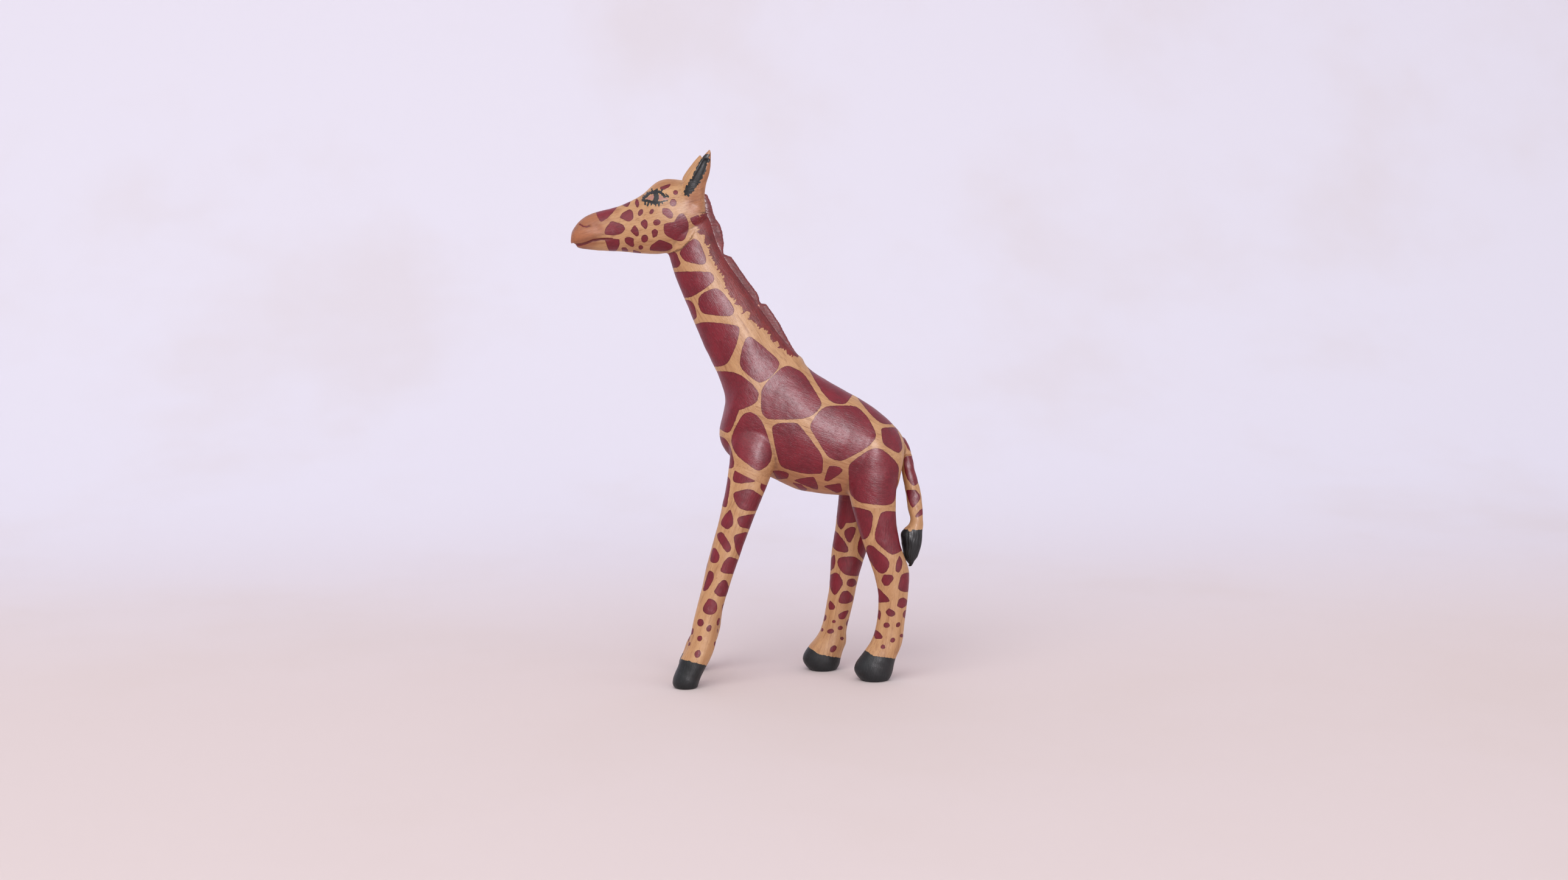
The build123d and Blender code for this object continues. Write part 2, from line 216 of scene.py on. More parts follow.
points, edges = read_points(skin), read_edges(skin)
height = points[:, 2]
thin = ramp(height, 187, 190) * ramp(points[:, 0], -26, -24)
tail_root = hump(np.linalg.norm(points - (60.4, 0, 85), axis=1), 1.5, 4.5)
share = 0.5 * (1 - 0.9 * thin) * (1 - tail_root) * ramp(height, 0.2, 2.0)
rounds = 40
points = relax(points, edges, rounds // 3, share)
sheet = on_sheet(points)
crease = np.maximum.reduce([
    hump(height, 66, 12) * (points[:, 0] > 15),
    hump(height - 0.5 * (-15.6 + 16.65 - points[:, 0]), 79, 13) * (points[:, 0] < 20),
    hump(np.hypot(sheet[:, 0] + 25, sheet[:, 1] - 107), 0, 14),
    hump(np.hypot(sheet[:, 0] + 40.5, sheet[:, 1] - 185.5), 0, 7),
    hump(np.hypot(sheet[:, 0] + 37.2, sheet[:, 1] - 180), 1, 6),
])
points = relax(points, edges, rounds * 2, share * crease * (1 - thin))
far_foot = (points[:, 1] > 4) & (points[:, 0] < 5)
points[:, 0] += FOOT_MOVE * far_foot * (1 - ramp(height, 0, FOOT_TOP))
write_points(skin, points)
print("lowest point after sanding, mm:", round(points[:, 2].min(), 2))

# %% [markdown]
# ## Drawing lines and patches on the sheet
# Every carved line and painted patch is measured as a distance on the side drawing. A line gives its
# distance and its side. A patch is a polygon with softened corners that gives how deep a point lies
# inside it, so its edge can be moved, roughened or feathered afterwards.

# %% Distances on the sheet
def from_line(sheet, line):
    """Distance from an open line, share of its length there, and which side: +1 left, -1 right."""
    line = np.array(line, float)
    steps = np.linalg.norm(np.diff(line, axis=0), axis=1)
    starts = np.concatenate([[0], np.cumsum(steps)[:-1]])
    best = np.full(len(sheet), 1e9)
    along, side = np.zeros(len(sheet)), np.ones(len(sheet))
    for start, end, length, before in zip(line, line[1:], steps, starts):
        way = (end - start) / length
        offset = sheet - start
        run = np.clip(offset @ way, 0, length)
        gap = np.linalg.norm(offset - run[:, None] * way, axis=1)
        nearer = gap < best
        best = np.where(nearer, gap, best)
        along = np.where(nearer, before + run, along)
        left = np.sign(way[0] * offset[:, 1] - way[1] * offset[:, 0])
        side = np.where(nearer, left, side)
    return best, along / steps.sum(), side


def inside_patch(sheet, corners, softness):
    """Depth inside a convex patch, in millimetres: negative outside it."""
    corners = np.array(corners, float)
    nexts = np.roll(corners, -1, axis=0)
    area = np.sum(corners[:, 0] * nexts[:, 1] - corners[:, 1] * nexts[:, 0])
    if area < 0:
        corners, nexts = nexts[::-1], corners[::-1]
    depth = np.zeros(len(sheet))
    for start, end in zip(corners, nexts):
        way = (end - start) / max(np.linalg.norm(end - start), 1e-6)
        edge = way[0] * (sheet[:, 1] - start[1]) - way[1] * (sheet[:, 0] - start[0])
        depth += np.exp(np.clip(-edge / softness, -40, 40))
    return -softness * np.log(depth)


def inside_spot(sheet, u, v, wide, high, tilt=0):
    """Depth inside an oval spot."""
    angle = math.radians(tilt)
    x, y = sheet[:, 0] - u, sheet[:, 1] - v
    across = (x * math.cos(angle) + y * math.sin(angle)) * 2 / wide
    up = (y * math.cos(angle) - x * math.sin(angle)) * 2 / high
    return (1 - np.hypot(across, up)) * min(wide, high) / 2


def waves(points, reach, seed, count=14):
    """Smooth bumps about as wide as a reach, from -1 to 1, the same on every run."""
    random = np.random.default_rng(seed)
    total = np.zeros(len(points))
    for _ in range(count):
        way = random.normal(size=points.shape[1])
        way *= random.uniform(0.6, 1.5) * 2 * math.pi / reach / np.linalg.norm(way)
        total += np.sin(points @ way + random.uniform(0, 6.3))
    return total / math.sqrt(count)


print("depth at the middle of a 4 mm spot:", inside_spot(np.zeros((1, 2)), 0, 0, 4, 4)[0])

# %% [markdown]
# ## Carving the head
# The knife adds a few things that no lathe or saw gives: the line of the mouth, a slit for the nostril,
# a raised almond for the eye with a hollow in front of it, and the edge of the jaw, which stands proud of
# the neck. Each is a small push along the surface's normal. Last come the shallow facets that a
# sharp blade leaves all over.

# %% Knife work
MOUTH = [(-81.5, 164.2), (-78.5, 164.2), (-76.5, 164.6), (-74, 165.5), (-71, 166.1), (-67.5, 166.2)]
JAW_EDGE = [
    (-48.6, 160.2), (-44.5, 161.3), (-41, 162.8), (-38.3, 165.3), (-36.4, 168.3), (-35.2, 171.5),
]
EYE_PLACE = (-50.0, 182.0)
NOSTRIL = [(-78.6, 171.9), (-77.5, 171.2), (-76.2, 170.9), (-75, 171.3)]
NECK_BACK = [
    (-32.5, 182), (-31.6, 176), (-30.2, 170), (-28.3, 164.5), (-25, 158), (-21.5, 152.5),
    (-17, 145.5), (-13, 139.8), (-9, 134.2), (-5, 129), (-1, 124.6), (3, 121.2),
]

points, normals = read_points(skin), read_normals(skin)
sheet = on_sheet(points)
push = np.zeros(len(points))

on_side = ramp(np.abs(normals[:, 1]), 0.15, 0.5)
gap, share, side = from_line(sheet, MOUTH)
push -= 0.75 * np.exp(-((gap / 0.42) ** 2)) * (1 - 0.6 * ramp(share, 0.75, 1)) * (sheet[:, 0] < -66)
gap, share, side = from_line(sheet, JAW_EDGE)
on_neck = side < 0
step_down = np.exp(-gap / 2.2) * on_neck * 0.45 + 0.12 * np.exp(-((gap / 1.6) ** 2)) * ~on_neck
near_jaw = (sheet[:, 0] > -49.5) & (sheet[:, 0] < -33) & (sheet[:, 1] > 157) & (sheet[:, 1] < 174)
fade = ramp(share, 0, 0.1) * (1 - ramp(share, 0.6, 0.95))
push -= np.where(on_neck, 1, -1) * step_down * near_jaw * on_side * fade
gap, share, side = from_line(sheet, NECK_BACK)
push += 0.9 * np.exp(-((gap / 2.4) ** 2)) * (sheet[:, 1] < 176)
push -= 0.32 * np.exp(-((from_line(sheet, NOSTRIL)[0] / 0.5) ** 2)) * on_side
push += 0.28 * ramp(inside_spot(sheet, *EYE_PLACE, 8.6, 4.8, -3), -0.2, 1.2) * on_side
push -= 0.45 * ramp(inside_spot(sheet, -58, 180.5, 9, 5, 30), 0, 2.2) * on_side
push -= 0.35 * ramp(inside_spot(sheet, -72, 170.5, 13, 5, 4), 0, 2.4) * on_side
smooth_parts = ramp(points[:, 2], 0.5, 3)
push += (0.045 * waves(points, 9, 1) + 0.02 * waves(points, 3.5, 2)) * smooth_parts
points += normals * push[:, None]
points[:, 2] = np.maximum(points[:, 2], 0)
write_points(skin, points)
print("deepest cut and highest rise, mm:", round(push.min(), 2), round(push.max(), 2))

# %% [markdown]
# ## Cutting the skin back into its pieces
# The frame's pieces meet at flat glue faces, and a peg crosses each one at right angles, half in one
# piece and half in the other. So a peg's middle and its axis give the glue plane. The ears' pegs lean with
# the ears, and there the plane is the one through the points that both pieces share. The skin is cut
# along each plane and every cut is closed, so each wooden piece is again its own closed mesh and no step
# shows at the joints.

# %% Find the glue planes
def frame_points(node):
    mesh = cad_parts[node].data
    return read_points(mesh) * 1000


def plane_across(peg):
    """Middle and upward axis of a peg."""
    places = frame_points(peg)
    middle = (places.min(0) + places.max(0)) / 2
    axis = np.linalg.svd(places - places.mean(0), full_matrices=False)[2][0]
    return middle, axis * np.sign(axis[2])


def plane_between(one, two):
    """Middle and upward direction of the plane where two pieces meet."""
    spots = {tuple(p) for p in np.round(frame_points(one), 2)}
    shared = np.array([p for p in np.round(frame_points(two), 2) if tuple(p) in spots])
    middle = shared.mean(0)
    normal = np.linalg.svd(shared - middle, full_matrices=False)[2][2]
    return middle, normal * np.sign(normal[2])


cuts = [(*plane_across("neck_peg"), 60), (*plane_across("head_peg"), 22)]
cuts += [(*plane_between("head", f"{side}_ear"), 6) for side in ("left", "right")]
for leg in ("left_front", "right_front", "left_hind", "right_hind"):
    cuts.append((*plane_across(leg + "_peg"), 12.5))
for middle, way, reach in cuts:
    print("glue plane at", middle.round(1), "facing", way.round(3))

# %% [markdown]
# A cut is made with bisect, which leaves a ring of new edges in the plane. Splitting those edges frees the
# two sides from each other. Then each separate island of faces is a piece, and the piece whose box fits
# the island best gives it its name. The reach keeps one joint's plane from cutting another leg.

# %% Cut along them
def cut_skin(mesh, cuts):
    """Cuts the skin near each glue plane's middle and opens it there."""
    whole = bmesh.new()
    whole.from_mesh(mesh)
    for middle, normal, reach in cuts:
        centre, way = Vector(middle), Vector(normal)
        near = []
        for face in whole.faces:
            offset = face.verts[0].co - centre
            if abs(offset.dot(way)) < 1.5 and offset.length < reach:
                near.append(face)
        parts = set(near)
        for face in near:
            parts.update(face.edges)
            parts.update(face.verts)
        made = bmesh.ops.bisect_plane(whole, geom=list(parts), dist=0.002, plane_co=centre, plane_no=way)
        seam = [e for e in made["geom_cut"] if isinstance(e, bmesh.types.BMEdge)]
        bmesh.ops.split_edges(whole, edges=seam)
    return whole


def islands(whole):
    """The separate closed parts of a mesh, as lists of faces."""
    seen, found = set(), []
    for first in whole.faces:
        if first in seen:
            continue
        seen.add(first)
        island, waiting = [], [first]
        while waiting:
            face = waiting.pop()
            island.append(face)
            for edge in face.edges:
                for other in edge.link_faces:
                    if other not in seen:
                        seen.add(other)
                        waiting.append(other)
        found.append(island)
    return found


def closed_piece(name, faces):
    """A new object from some faces, its open edges filled flat and kept sharp."""
    number, places, corners = {}, [], []
    for face in faces:
        corner = []
        for vert in face.verts:
            if vert not in number:
                number[vert] = len(places)
                places.append(vert.co.copy())
            corner.append(number[vert])
        corners.append(corner)
    thing = mesh_object(name, places, corners)
    part = bmesh.new()
    part.from_mesh(thing.data)
    for face in part.faces:
        face.smooth = True
    open_edges = [e for e in part.edges if e.is_boundary]
    for edge in open_edges:
        edge.smooth = False
    bmesh.ops.holes_fill(part, edges=open_edges, sides=0)
    part.to_mesh(thing.data)
    part.free()
    return thing


whole = cut_skin(skin, cuts)
carved = {}
boxes = {n: (frame_points(n).min(0), frame_points(n).max(0)) for n in BODY_PIECES}
for island in islands(whole):
    places = np.array([v.co for f in island for v in f.verts])
    low, high = places.min(0), places.max(0)
    if np.ptp(places, axis=0).max() < 5:
        continue
    fit = {n: np.abs(low - b[0]).sum() + np.abs(high - b[1]).sum() for n, b in boxes.items()}
    node = min(fit, key=fit.get)
    print(f"{node}: {len(island)} faces, box within {fit[node]:.1f} mm of the frame's in all")
    carved[node] = closed_piece("carved_" + node, island)
whole.free()

# %% [markdown]
# ## The mane and the tail
# Both are thin and stand alone, so each gets a finer skin of its own. The mane is cut with the corner of
# a chisel into slanting locks of hair, and it is planed thinner towards its free edge.

# %% Carve the mane
def fine_skin(node, grid, rounds, top=1e3):
    """A finer skin over one piece, relaxed except close to its top."""
    made = skin_over([node], grid * (1))
    places = read_points(made)
    write_points(made, relax(places, read_edges(made), rounds, 0.5 * ramp(top - places[:, 2], 0.2, 2.5)))
    return made


def keep_whole(node, mesh):
    """Turns a finished skin into the carved piece of one node."""
    whole = bmesh.new()
    whole.from_mesh(mesh)
    carved[node] = closed_piece("carved_" + node, list(whole.faces))
    whole.free()
    print(node, "points:", len(carved[node].data.vertices))


MANE_LENGTH = 78.0  # mm along the back of the neck
LOCK = 1.7  # mm from one chisel stroke to the next

mane_skin = fine_skin("mane", 0.22, 2)
points, normals = read_points(mane_skin), read_normals(mane_skin)
sheet = on_sheet(points)
gap, share, side = from_line(sheet, NECK_BACK)
stroke = share * MANE_LENGTH - 0.9 * gap
groove = np.abs(((stroke + 0.9 * waves(sheet, 7, 5)) / LOCK) % 1 - 0.5) * 2
depth = 0.10 * (1 - groove) ** 3 + 0.015 * waves(points, 1.4, 6) + 0.06 * waves(points, 6, 7)
wedge = 0.6 - 1.35 * ramp(gap, 0, 4)
points[:, 1] += wedge * np.clip(points[:, 1] / 1.2, -1, 1)
points -= normals * depth[:, None]
write_points(mane_skin, points)
keep_whole("mane", mane_skin)

# %% [markdown]
# The tail hangs as a slim rod and ends in a tuft with a few long grooves down it. The grooves follow the
# angle round the tail's middle line, so they run down the tuft on all sides. The top of the tail is left
# as it is, because it has to meet the body exactly.

# %% Carve the tail
TUFT_TOP = 58.0  # mm above the floor

tail_skin = fine_skin("tail", 0.22, 5, 85)
points, normals = read_points(tail_skin), read_normals(tail_skin)
height = points[:, 2]
tuft = ramp(height, TUFT_TOP - 2.5, TUFT_TOP + 0.2)
middle = np.array([np.interp(height, [42, 50, 58, 85], [61.0, 61.4, 62.0, 60.4]),
                   np.interp(height, [42, 58, 70, 85], [-6.6, -6.4, -3.2, 0])])
angle = np.arctan2(points[:, 1] - middle[1], points[:, 0] - middle[0])
hair = np.abs(((angle * 9 + 0.12 * height + 0.8 * waves(points, 6, 9)) / math.pi) % 1 - 0.5) * 2
push = -0.13 * (1 - hair) ** 2 * (1 - tuft) + 0.08 * waves(points, 3, 10) * ramp(84.6 - height, 0, 1.5)
points += normals * push[:, None]
write_points(tail_skin, points)
keep_whole("tail", tail_skin)

# %% [markdown]
# ## The painted patches
# The real patches are brushed on by eye: large many-sided ones on the body with pale lines of bare wood
# between them, smaller ones up the neck and face, and single spots down the shins. Each is written here
# as the corners of a polygon, or an oval, on the side drawing. Nothing repeats, just as on the wood. An
# image would be quicker, but polygons stay sharp at any distance and can be moved one by one.

# %% Patches of the body, neck and tail
BODY_PATCHES = [
    [(-10.8, 110), (-3.5, 117.9), (-1.8, 118.7), (4.8, 115.6), (8, 110.5), (11.4, 104.8), (10.5, 102.6),
     (6.5, 99.2), (5, 98.8), (-9, 98.8), (-10.9, 101)],
    [(5.5, 120), (7.2, 116), (13, 106.8), (15.5, 104.8), (20.2, 104.3), (22.6, 107.5), (26, 113),
     (16, 124)],
    [(23.6, 107.5), (26.5, 104), (30, 99.3), (33.5, 97), (37.8, 96.7), (42, 99), (32, 110)],
    [(7, 95.8), (10, 101), (12.8, 103.2), (24, 103.3), (27, 101), (30, 96.5), (31.5, 92.3), (30, 89.6),
     (22, 84.3), (18.3, 82.8), (14, 84.3)],
    [(-7, 95.8), (-5.5, 96.8), (2.6, 96.9), (6, 92.5), (11.5, 85), (11.2, 78.3), (4, 78.2), (-4, 81),
     (-5.3, 85)],
    [(-15, 101.2), (-11.5, 98.6), (-9, 93), (-7.2, 84.8), (-8.6, 81.4), (-12.2, 79.2), (-20.2, 85),
     (-22.3, 90.5), (-19.3, 98.4), (-17.3, 100.8)],
    [(30.5, 87.6), (32.5, 87.7), (36.5, 85), (39.8, 81), (39.6, 75), (38, 67.2), (36, 66.2), (25, 67.5),
     (22, 70.5), (21.6, 81.5), (25, 84.4)],
    [(33.6, 95), (39, 95.3), (40, 93), (41.3, 88), (40, 85.8), (34.3, 89.3)],
    [(40.5, 95), (42, 90), (44, 86.5), (45.8, 85.5), (49, 90), (44, 98)],
    [(14.2, 80.9), (18, 80.5), (19.6, 78.6), (16.5, 76.8), (14.5, 75), (12.4, 75.6)],
    [(12.2, 73.3), (15, 74), (18.2, 74.4), (18.8, 71.5), (17, 70.8)],
    [(1, 75.6), (4.5, 76.4), (8.2, 76.8), (10, 73), (9.8, 72), (5.5, 73.4)],
    [(-6.8, 79), (-3, 79), (-1, 78), (-1.3, 76.4), (-5.2, 76)],
    [(0.5, 74.6), (3.5, 74), (5.8, 72.2), (4.5, 71.2)],
    [(39.6, 72), (42, 71), (41, 66), (39.2, 66)],
    [(-32, 116), (-23, 116.5), (-20.5, 116), (-14, 111.2), (-12.2, 108.5), (-13, 105), (-19, 102),
     (-32, 100)],
    [(-32, 107), (-17.5, 107), (-19.8, 100.8), (-21.6, 95.2), (-23.6, 92.9), (-26.5, 94.8), (-32, 98)],
    [(-30, 92), (-25.3, 91.8), (-23.6, 90.2), (-22.1, 86.5), (-21.2, 82), (-21.3, 80.5), (-23.5, 80),
     (-30, 84)],
]
NECK_PATCHES = [
    [(-46.5, 161), (-43, 161.3), (-41.2, 157), (-42, 155.8), (-44.5, 155.5), (-46.8, 157)],
    [(-36.2, 166.5), (-34.6, 165.8), (-31.6, 158), (-32.6, 156.8), (-39.5, 158.2), (-41.6, 161.2),
     (-40.8, 162.3)],
    [(-48, 153.8), (-44, 153.8), (-38.3, 155.6), (-30, 154.2), (-28.6, 151), (-29.6, 149.6),
     (-37.8, 144.4),
     (-44, 144.9)],
    [(-28, 147.8), (-26.3, 147), (-21.2, 139.8), (-22, 137.6), (-25, 137.3), (-33, 138.6),
     (-34.6, 142.5),
     (-33.5, 145.5)],
    [(-44, 143.2), (-37.5, 143.1), (-36.3, 141.8), (-35.2, 137), (-36.8, 135.6), (-44, 135.8)],
    [(-42, 131), (-35, 134.6), (-32, 136), (-25.5, 134.6), (-18.6, 134.3), (-17.5, 132.6), (-20.3, 127),
     (-21.2, 120.4), (-26.5, 118.4), (-36, 119.5)],
    [(-16.5, 129.3), (-15, 129.9), (-11, 126.4), (-5.5, 122), (-4.3, 119.8), (-5.2, 117.3), (-9.5, 113),
     (-11.8, 112.3), (-17.5, 116.5), (-19, 118.5), (-18.3, 125)],
]
TAIL_PATCHES = [
    [(42.2, 84.3), (45, 84.6), (46.8, 80), (47.3, 75), (45.5, 73.5), (43.2, 76), (42, 80)],
    [(42.8, 71.8), (46.2, 71.8), (48, 69.5), (47.6, 68), (45, 65.2), (43.4, 68.5)],
    [(48.8, 64.8), (48, 64.5), (46, 62), (46.6, 61.6), (48.9, 62.8)],
    [(47.9, 77), (50, 77), (50, 71), (48.6, 71.5)],
]

# %% [markdown]
# The face has the smallest patches, close together behind the muzzle. The tiniest are single dabs of the
# brush: an oval with a place, a width, a height and a tilt in degrees is enough for them.

# %% Patches of the head
HEAD_PATCHES = [
    [(-72.8, 178), (-63.5, 179), (-64.2, 177.3), (-67.5, 175), (-70, 171.6), (-71.2, 173)],
    [(-64, 180), (-59.2, 182.6), (-60.6, 178.6), (-61.2, 178.4)],
    [(-59.9, 177.5), (-58.9, 176.5), (-58.8, 174), (-60.2, 172.9), (-63.6, 174.4), (-63, 175.9)],
    [(-47.8, 177.8), (-45.5, 177.7), (-44, 175.8), (-44.2, 174.3), (-45.3, 174.1), (-47.9, 176)],
    [(-48.7, 185.9), (-45, 187), (-45.1, 186.2), (-47.2, 184.9), (-48.6, 185)],
    [(-66.8, 173), (-62.5, 171.6), (-61.8, 170), (-63, 168.5), (-66, 167.8), (-69.3, 168.2),
     (-69.2, 169.8)],
    [(-58.2, 171.5), (-56.8, 169.6), (-56.7, 167.8), (-57.5, 167.3), (-59.7, 169.4)],
    [(-56, 172.5), (-54.5, 173.8), (-53.4, 172.8), (-53.6, 170.5), (-54.2, 170), (-55.6, 171.4)],
    [(-51.9, 169.2), (-50.8, 170.2), (-49.6, 169.4), (-49.9, 167.4), (-51.3, 166.9)],
    [(-61.8, 166.6), (-60.5, 167.1), (-58.7, 166.6), (-58.5, 163.6), (-59.3, 163.4), (-61.7, 165)],
    [(-63, 163), (-61.5, 163.2), (-60.5, 161.8), (-62.8, 161.8)],
    [(-69.3, 166.4), (-64, 166.2), (-63.8, 164.5), (-65, 162), (-67.5, 161.6), (-68.6, 164)],
    [(-58.8, 162.2), (-56, 161.4), (-56, 160.4), (-58.5, 160.4)],
    [(-49, 166), (-44.5, 164.2), (-44.2, 163), (-46.5, 161.8), (-52.6, 162.2), (-52.3, 163.6)],
    [(-47.5, 170), (-47, 172), (-44, 172.7), (-39, 172.5), (-38.2, 171), (-39.5, 166.5), (-41, 165.5),
     (-43.5, 166), (-47, 168.3)],
    [(-43.6, 172.2), (-41.6, 175.7), (-40.2, 175.9), (-38.6, 173.6), (-38.2, 170.5), (-42, 169)],
    [(-37.6, 174), (-34.6, 175.3), (-33.6, 173), (-34.8, 171), (-36.2, 171.6)],
]
HEAD_SPOTS = [
    (-57.3, 179.8, 1.5, 2.9, 8), (-56.0, 176.3, 1.7, 2.8, -32), (-51.9, 176.7, 1.5, 2.2, -30),
    (-43.9, 180.0, 2.5, 2.9, -12), (-43.0, 183.8, 1.8, 1.8, 0), (-50.0, 172.6, 2.8, 2.3, 20),
    (-54.5, 166.5, 2.7, 3.0, -15), (-55.9, 163.2, 1.8, 1.7, 0),
]

# %% [markdown]
# Down each leg the patches shrink to spots above the hoof. A leg has its own list, as it stands at its
# own angle. The far front leg borrows the near one's list.

# %% Patches of the legs
LEG_PATCHES = {
    "left_front_leg": [
        [(-19.8, 81), (-18.3, 81.4), (-17, 80.6), (-13.3, 76.8), (-13.4, 75.3), (-19.5, 74.4),
         (-21.6, 75.3),
         (-21.5, 77.8)],
        [(-21.5, 70.9), (-17, 72.2), (-15, 72.6), (-13.7, 71.6), (-10, 69.5), (-8, 66), (-11, 64.5),
         (-16.5, 64.1), (-19.5, 65.3), (-21.4, 68.8)],
        [(-9.8, 78), (-7.5, 79.5), (-6.3, 79.3), (-5, 77), (-9, 70.5), (-10.5, 71.2), (-11.6, 73),
         (-10.8, 75.8)],
        [(-26, 66), (-24.3, 65.4), (-23.2, 70), (-22.8, 76), (-24, 77), (-26, 72)],
        [(-22.6, 64.5), (-22, 63), (-21.5, 59.5), (-22.5, 57.8), (-24, 57.2), (-26.3, 59), (-25.8, 61)],
        [(-19.8, 61.6), (-14.5, 62.8), (-12, 63), (-14.2, 57.5), (-15.8, 57.3), (-19.3, 58.3),
         (-20, 60)],
        [(-27.2, 55.7), (-25.7, 56), (-24.5, 54.5), (-22.3, 50.2), (-22.8, 48.8), (-24.5, 48.3),
         (-25.6, 50.5),
         (-27.8, 53.2)],
        [(-21.2, 54.6), (-17, 56), (-14.5, 55.5), (-18, 47), (-19.2, 46.8), (-20.6, 49.5)],
        [(-29, 50.2), (-28, 49.8), (-26.6, 46.8), (-27.6, 44.6), (-29, 44.4), (-30.2, 45.2), (-30, 48)],
        [(-24.8, 45.2), (-23, 46.7), (-20, 45.8), (-18.8, 45), (-21, 40.5), (-25, 40.6), (-26.3, 41.3)],
        [(-30.7, 41.8), (-28.9, 40.7), (-28.8, 39), (-31, 34.6), (-32.8, 33.8), (-32.8, 35.5),
         (-31.2, 40)],
        [(-26.8, 36.8), (-25.5, 38), (-24.2, 37.8), (-23.2, 34.5), (-24, 32), (-27.3, 32),
         (-28.6, 33.5)],
        [(-30.6, 31), (-28.6, 30.3), (-27.4, 28), (-28.3, 25.6), (-30.4, 24.9), (-32.7, 26.2),
         (-32.8, 27.6)],
    ],
    "left_hind_leg": [
        [(22.5, 66), (24.8, 65.3), (29.6, 64.4), (30.3, 62.5), (29.2, 55.5), (27.8, 53.5), (24, 54)],
        [(33, 63.4), (38.8, 63.7), (41, 62), (42, 50), (37.5, 47.5), (34.5, 49.5), (31.2, 53),
         (30.7, 55.5),
         (32, 59.5)],
        [(28.2, 51), (30, 51.3), (32, 49.5), (36.2, 46), (36.5, 44), (35.6, 41.5), (33.5, 40.3),
         (31.8, 41.5),
         (28, 48)],
        [(40.2, 47), (41.3, 45.2), (41, 42.5), (39.8, 40.7), (38.8, 41.5), (39, 44.5)],
        [(33.5, 38), (34.5, 40), (37.5, 39.8), (38, 38.5), (36, 35.9), (34.5, 36)],
        [(41, 40), (43.8, 40.8), (46, 38), (45, 34), (41.5, 33.6), (39.7, 34.8), (40, 37)],
        [(31, 36.5), (32.5, 34.8), (38.2, 33.2), (38.2, 32), (36.8, 30), (31, 29.7)],
        [(40, 30.8), (41.7, 31.4), (43, 30.5), (42.8, 28.5), (41.2, 27.4), (39.4, 28.3)],
        [(35, 26), (36.3, 27.3), (38.3, 26.2), (38.6, 25), (37.6, 24.3), (36, 24.6)],
        [(31.2, 19.3), (32.3, 18.7), (34, 16.7), (33.5, 16), (31.2, 16), (30.8, 17.3)],
    ],
    "right_hind_leg": [
        [(15.5, 76), (24, 76), (24.6, 60.3), (20, 59.5), (17.2, 61), (15.8, 66)],
        [(17, 62), (20, 62), (20.2, 59.2), (18.6, 57), (17.3, 58.5)],
        [(19.8, 56.5), (22.5, 58.1), (24, 57.4), (23.6, 55.4), (21.8, 52.1), (21, 52.4), (19.8, 55)],
        [(15.9, 57), (17, 56), (21, 50.5), (21.2, 48.8), (20.6, 48.4), (16.5, 49.2), (15, 52)],
        [(26, 55), (27, 53), (28.5, 47), (27.5, 45.3), (26, 46.5), (24.6, 49.3), (25, 52.5)],
        [(17.2, 45.3), (18, 46.4), (23.5, 46.7), (27.4, 43.5), (25.5, 39.8), (20.5, 39.9), (18, 42)],
        [(15.9, 47.5), (16.4, 45.5), (16, 43), (14.5, 41.5), (13.5, 44)],
        [(14.3, 39.6), (16.5, 40.8), (17.8, 40), (19.2, 37), (18, 34.3), (16, 32.3), (14.6, 34.5)],
        [(19, 33.6), (20.8, 34), (23, 31.6), (22.8, 30.2), (20.5, 29.1), (17.8, 29.5), (17.6, 30.7)],
        [(14.4, 30.3), (15.4, 29.5), (16.3, 27.8), (15.8, 26.9), (14.2, 27), (13.8, 28.5)],
        [(21.3, 26.6), (19, 26), (17.4, 24.8), (18, 23.3), (19.6, 23.3), (20.8, 25)],
        [(26, 66), (31.5, 66), (33, 58.5), (27.5, 57), (26.2, 60)],
        [(29, 55), (31.5, 55.5), (31, 49), (29.4, 48.5)],
    ],
}
LEG_PATCHES["right_front_leg"] = LEG_PATCHES["left_front_leg"]
LEG_SPOTS = {
    "left_front_leg": [
        (-33.7, 22, 2.5, 2.9, 0), (-30.6, 19.8, 1.8, 2.6, -25), (-34, 16, 1.9, 2.1, -20),
        (-34.8, 10.2, 2.4, 3, -25),
        (-27, 22.3, 1.3, 2.8, -12), (-25.2, 27.8, 1.1, 3, -12), (-36.9, 18.6, 1.1, 2.6, -14),
        (-37.9, 14, 0.8, 1.5, -14), (-27.2, 18.8, 0.9, 1.6, 0), (-28.2, 14, 1.2, 1.8, 0),
    ],
    "left_hind_leg": [
        (35.4, 21, 2.5, 2, 0), (39.7, 21.2, 1.5, 2.1, -25), (37.7, 15.4, 1.7, 2, -30),
        (34.1, 12.9, 1.7, 1.7, 0),
        (41, 17.1, 1.3, 1.5, 0), (32.7, 25, 1.2, 3.8, 0), (42.3, 25.2, 1.6, 3.1, -10),
    ],
    "right_hind_leg": [
        (22.4, 37, 3.7, 3.2, 10), (15.8, 22.4, 1.4, 1.2, 0), (21, 22, 1.1, 2.8, -15),
        (18.2, 20, 2, 1.7, 15),
        (14.6, 18.7, 2.5, 1.8, 10), (18.8, 16, 1.5, 1.3, 0), (15.6, 12.1, 2.1, 3, -35),
        (12.5, 23.7, 1, 2.4, -15),
        (11.5, 19.3, 0.9, 1.4, 0),
    ],
}
LEG_SPOTS["right_front_leg"] = LEG_SPOTS["left_front_leg"]
count = len(BODY_PATCHES) + len(NECK_PATCHES) + len(TAIL_PATCHES) + len(HEAD_PATCHES) + len(HEAD_SPOTS)
print("patches and spots on body, neck, tail and head:", count)

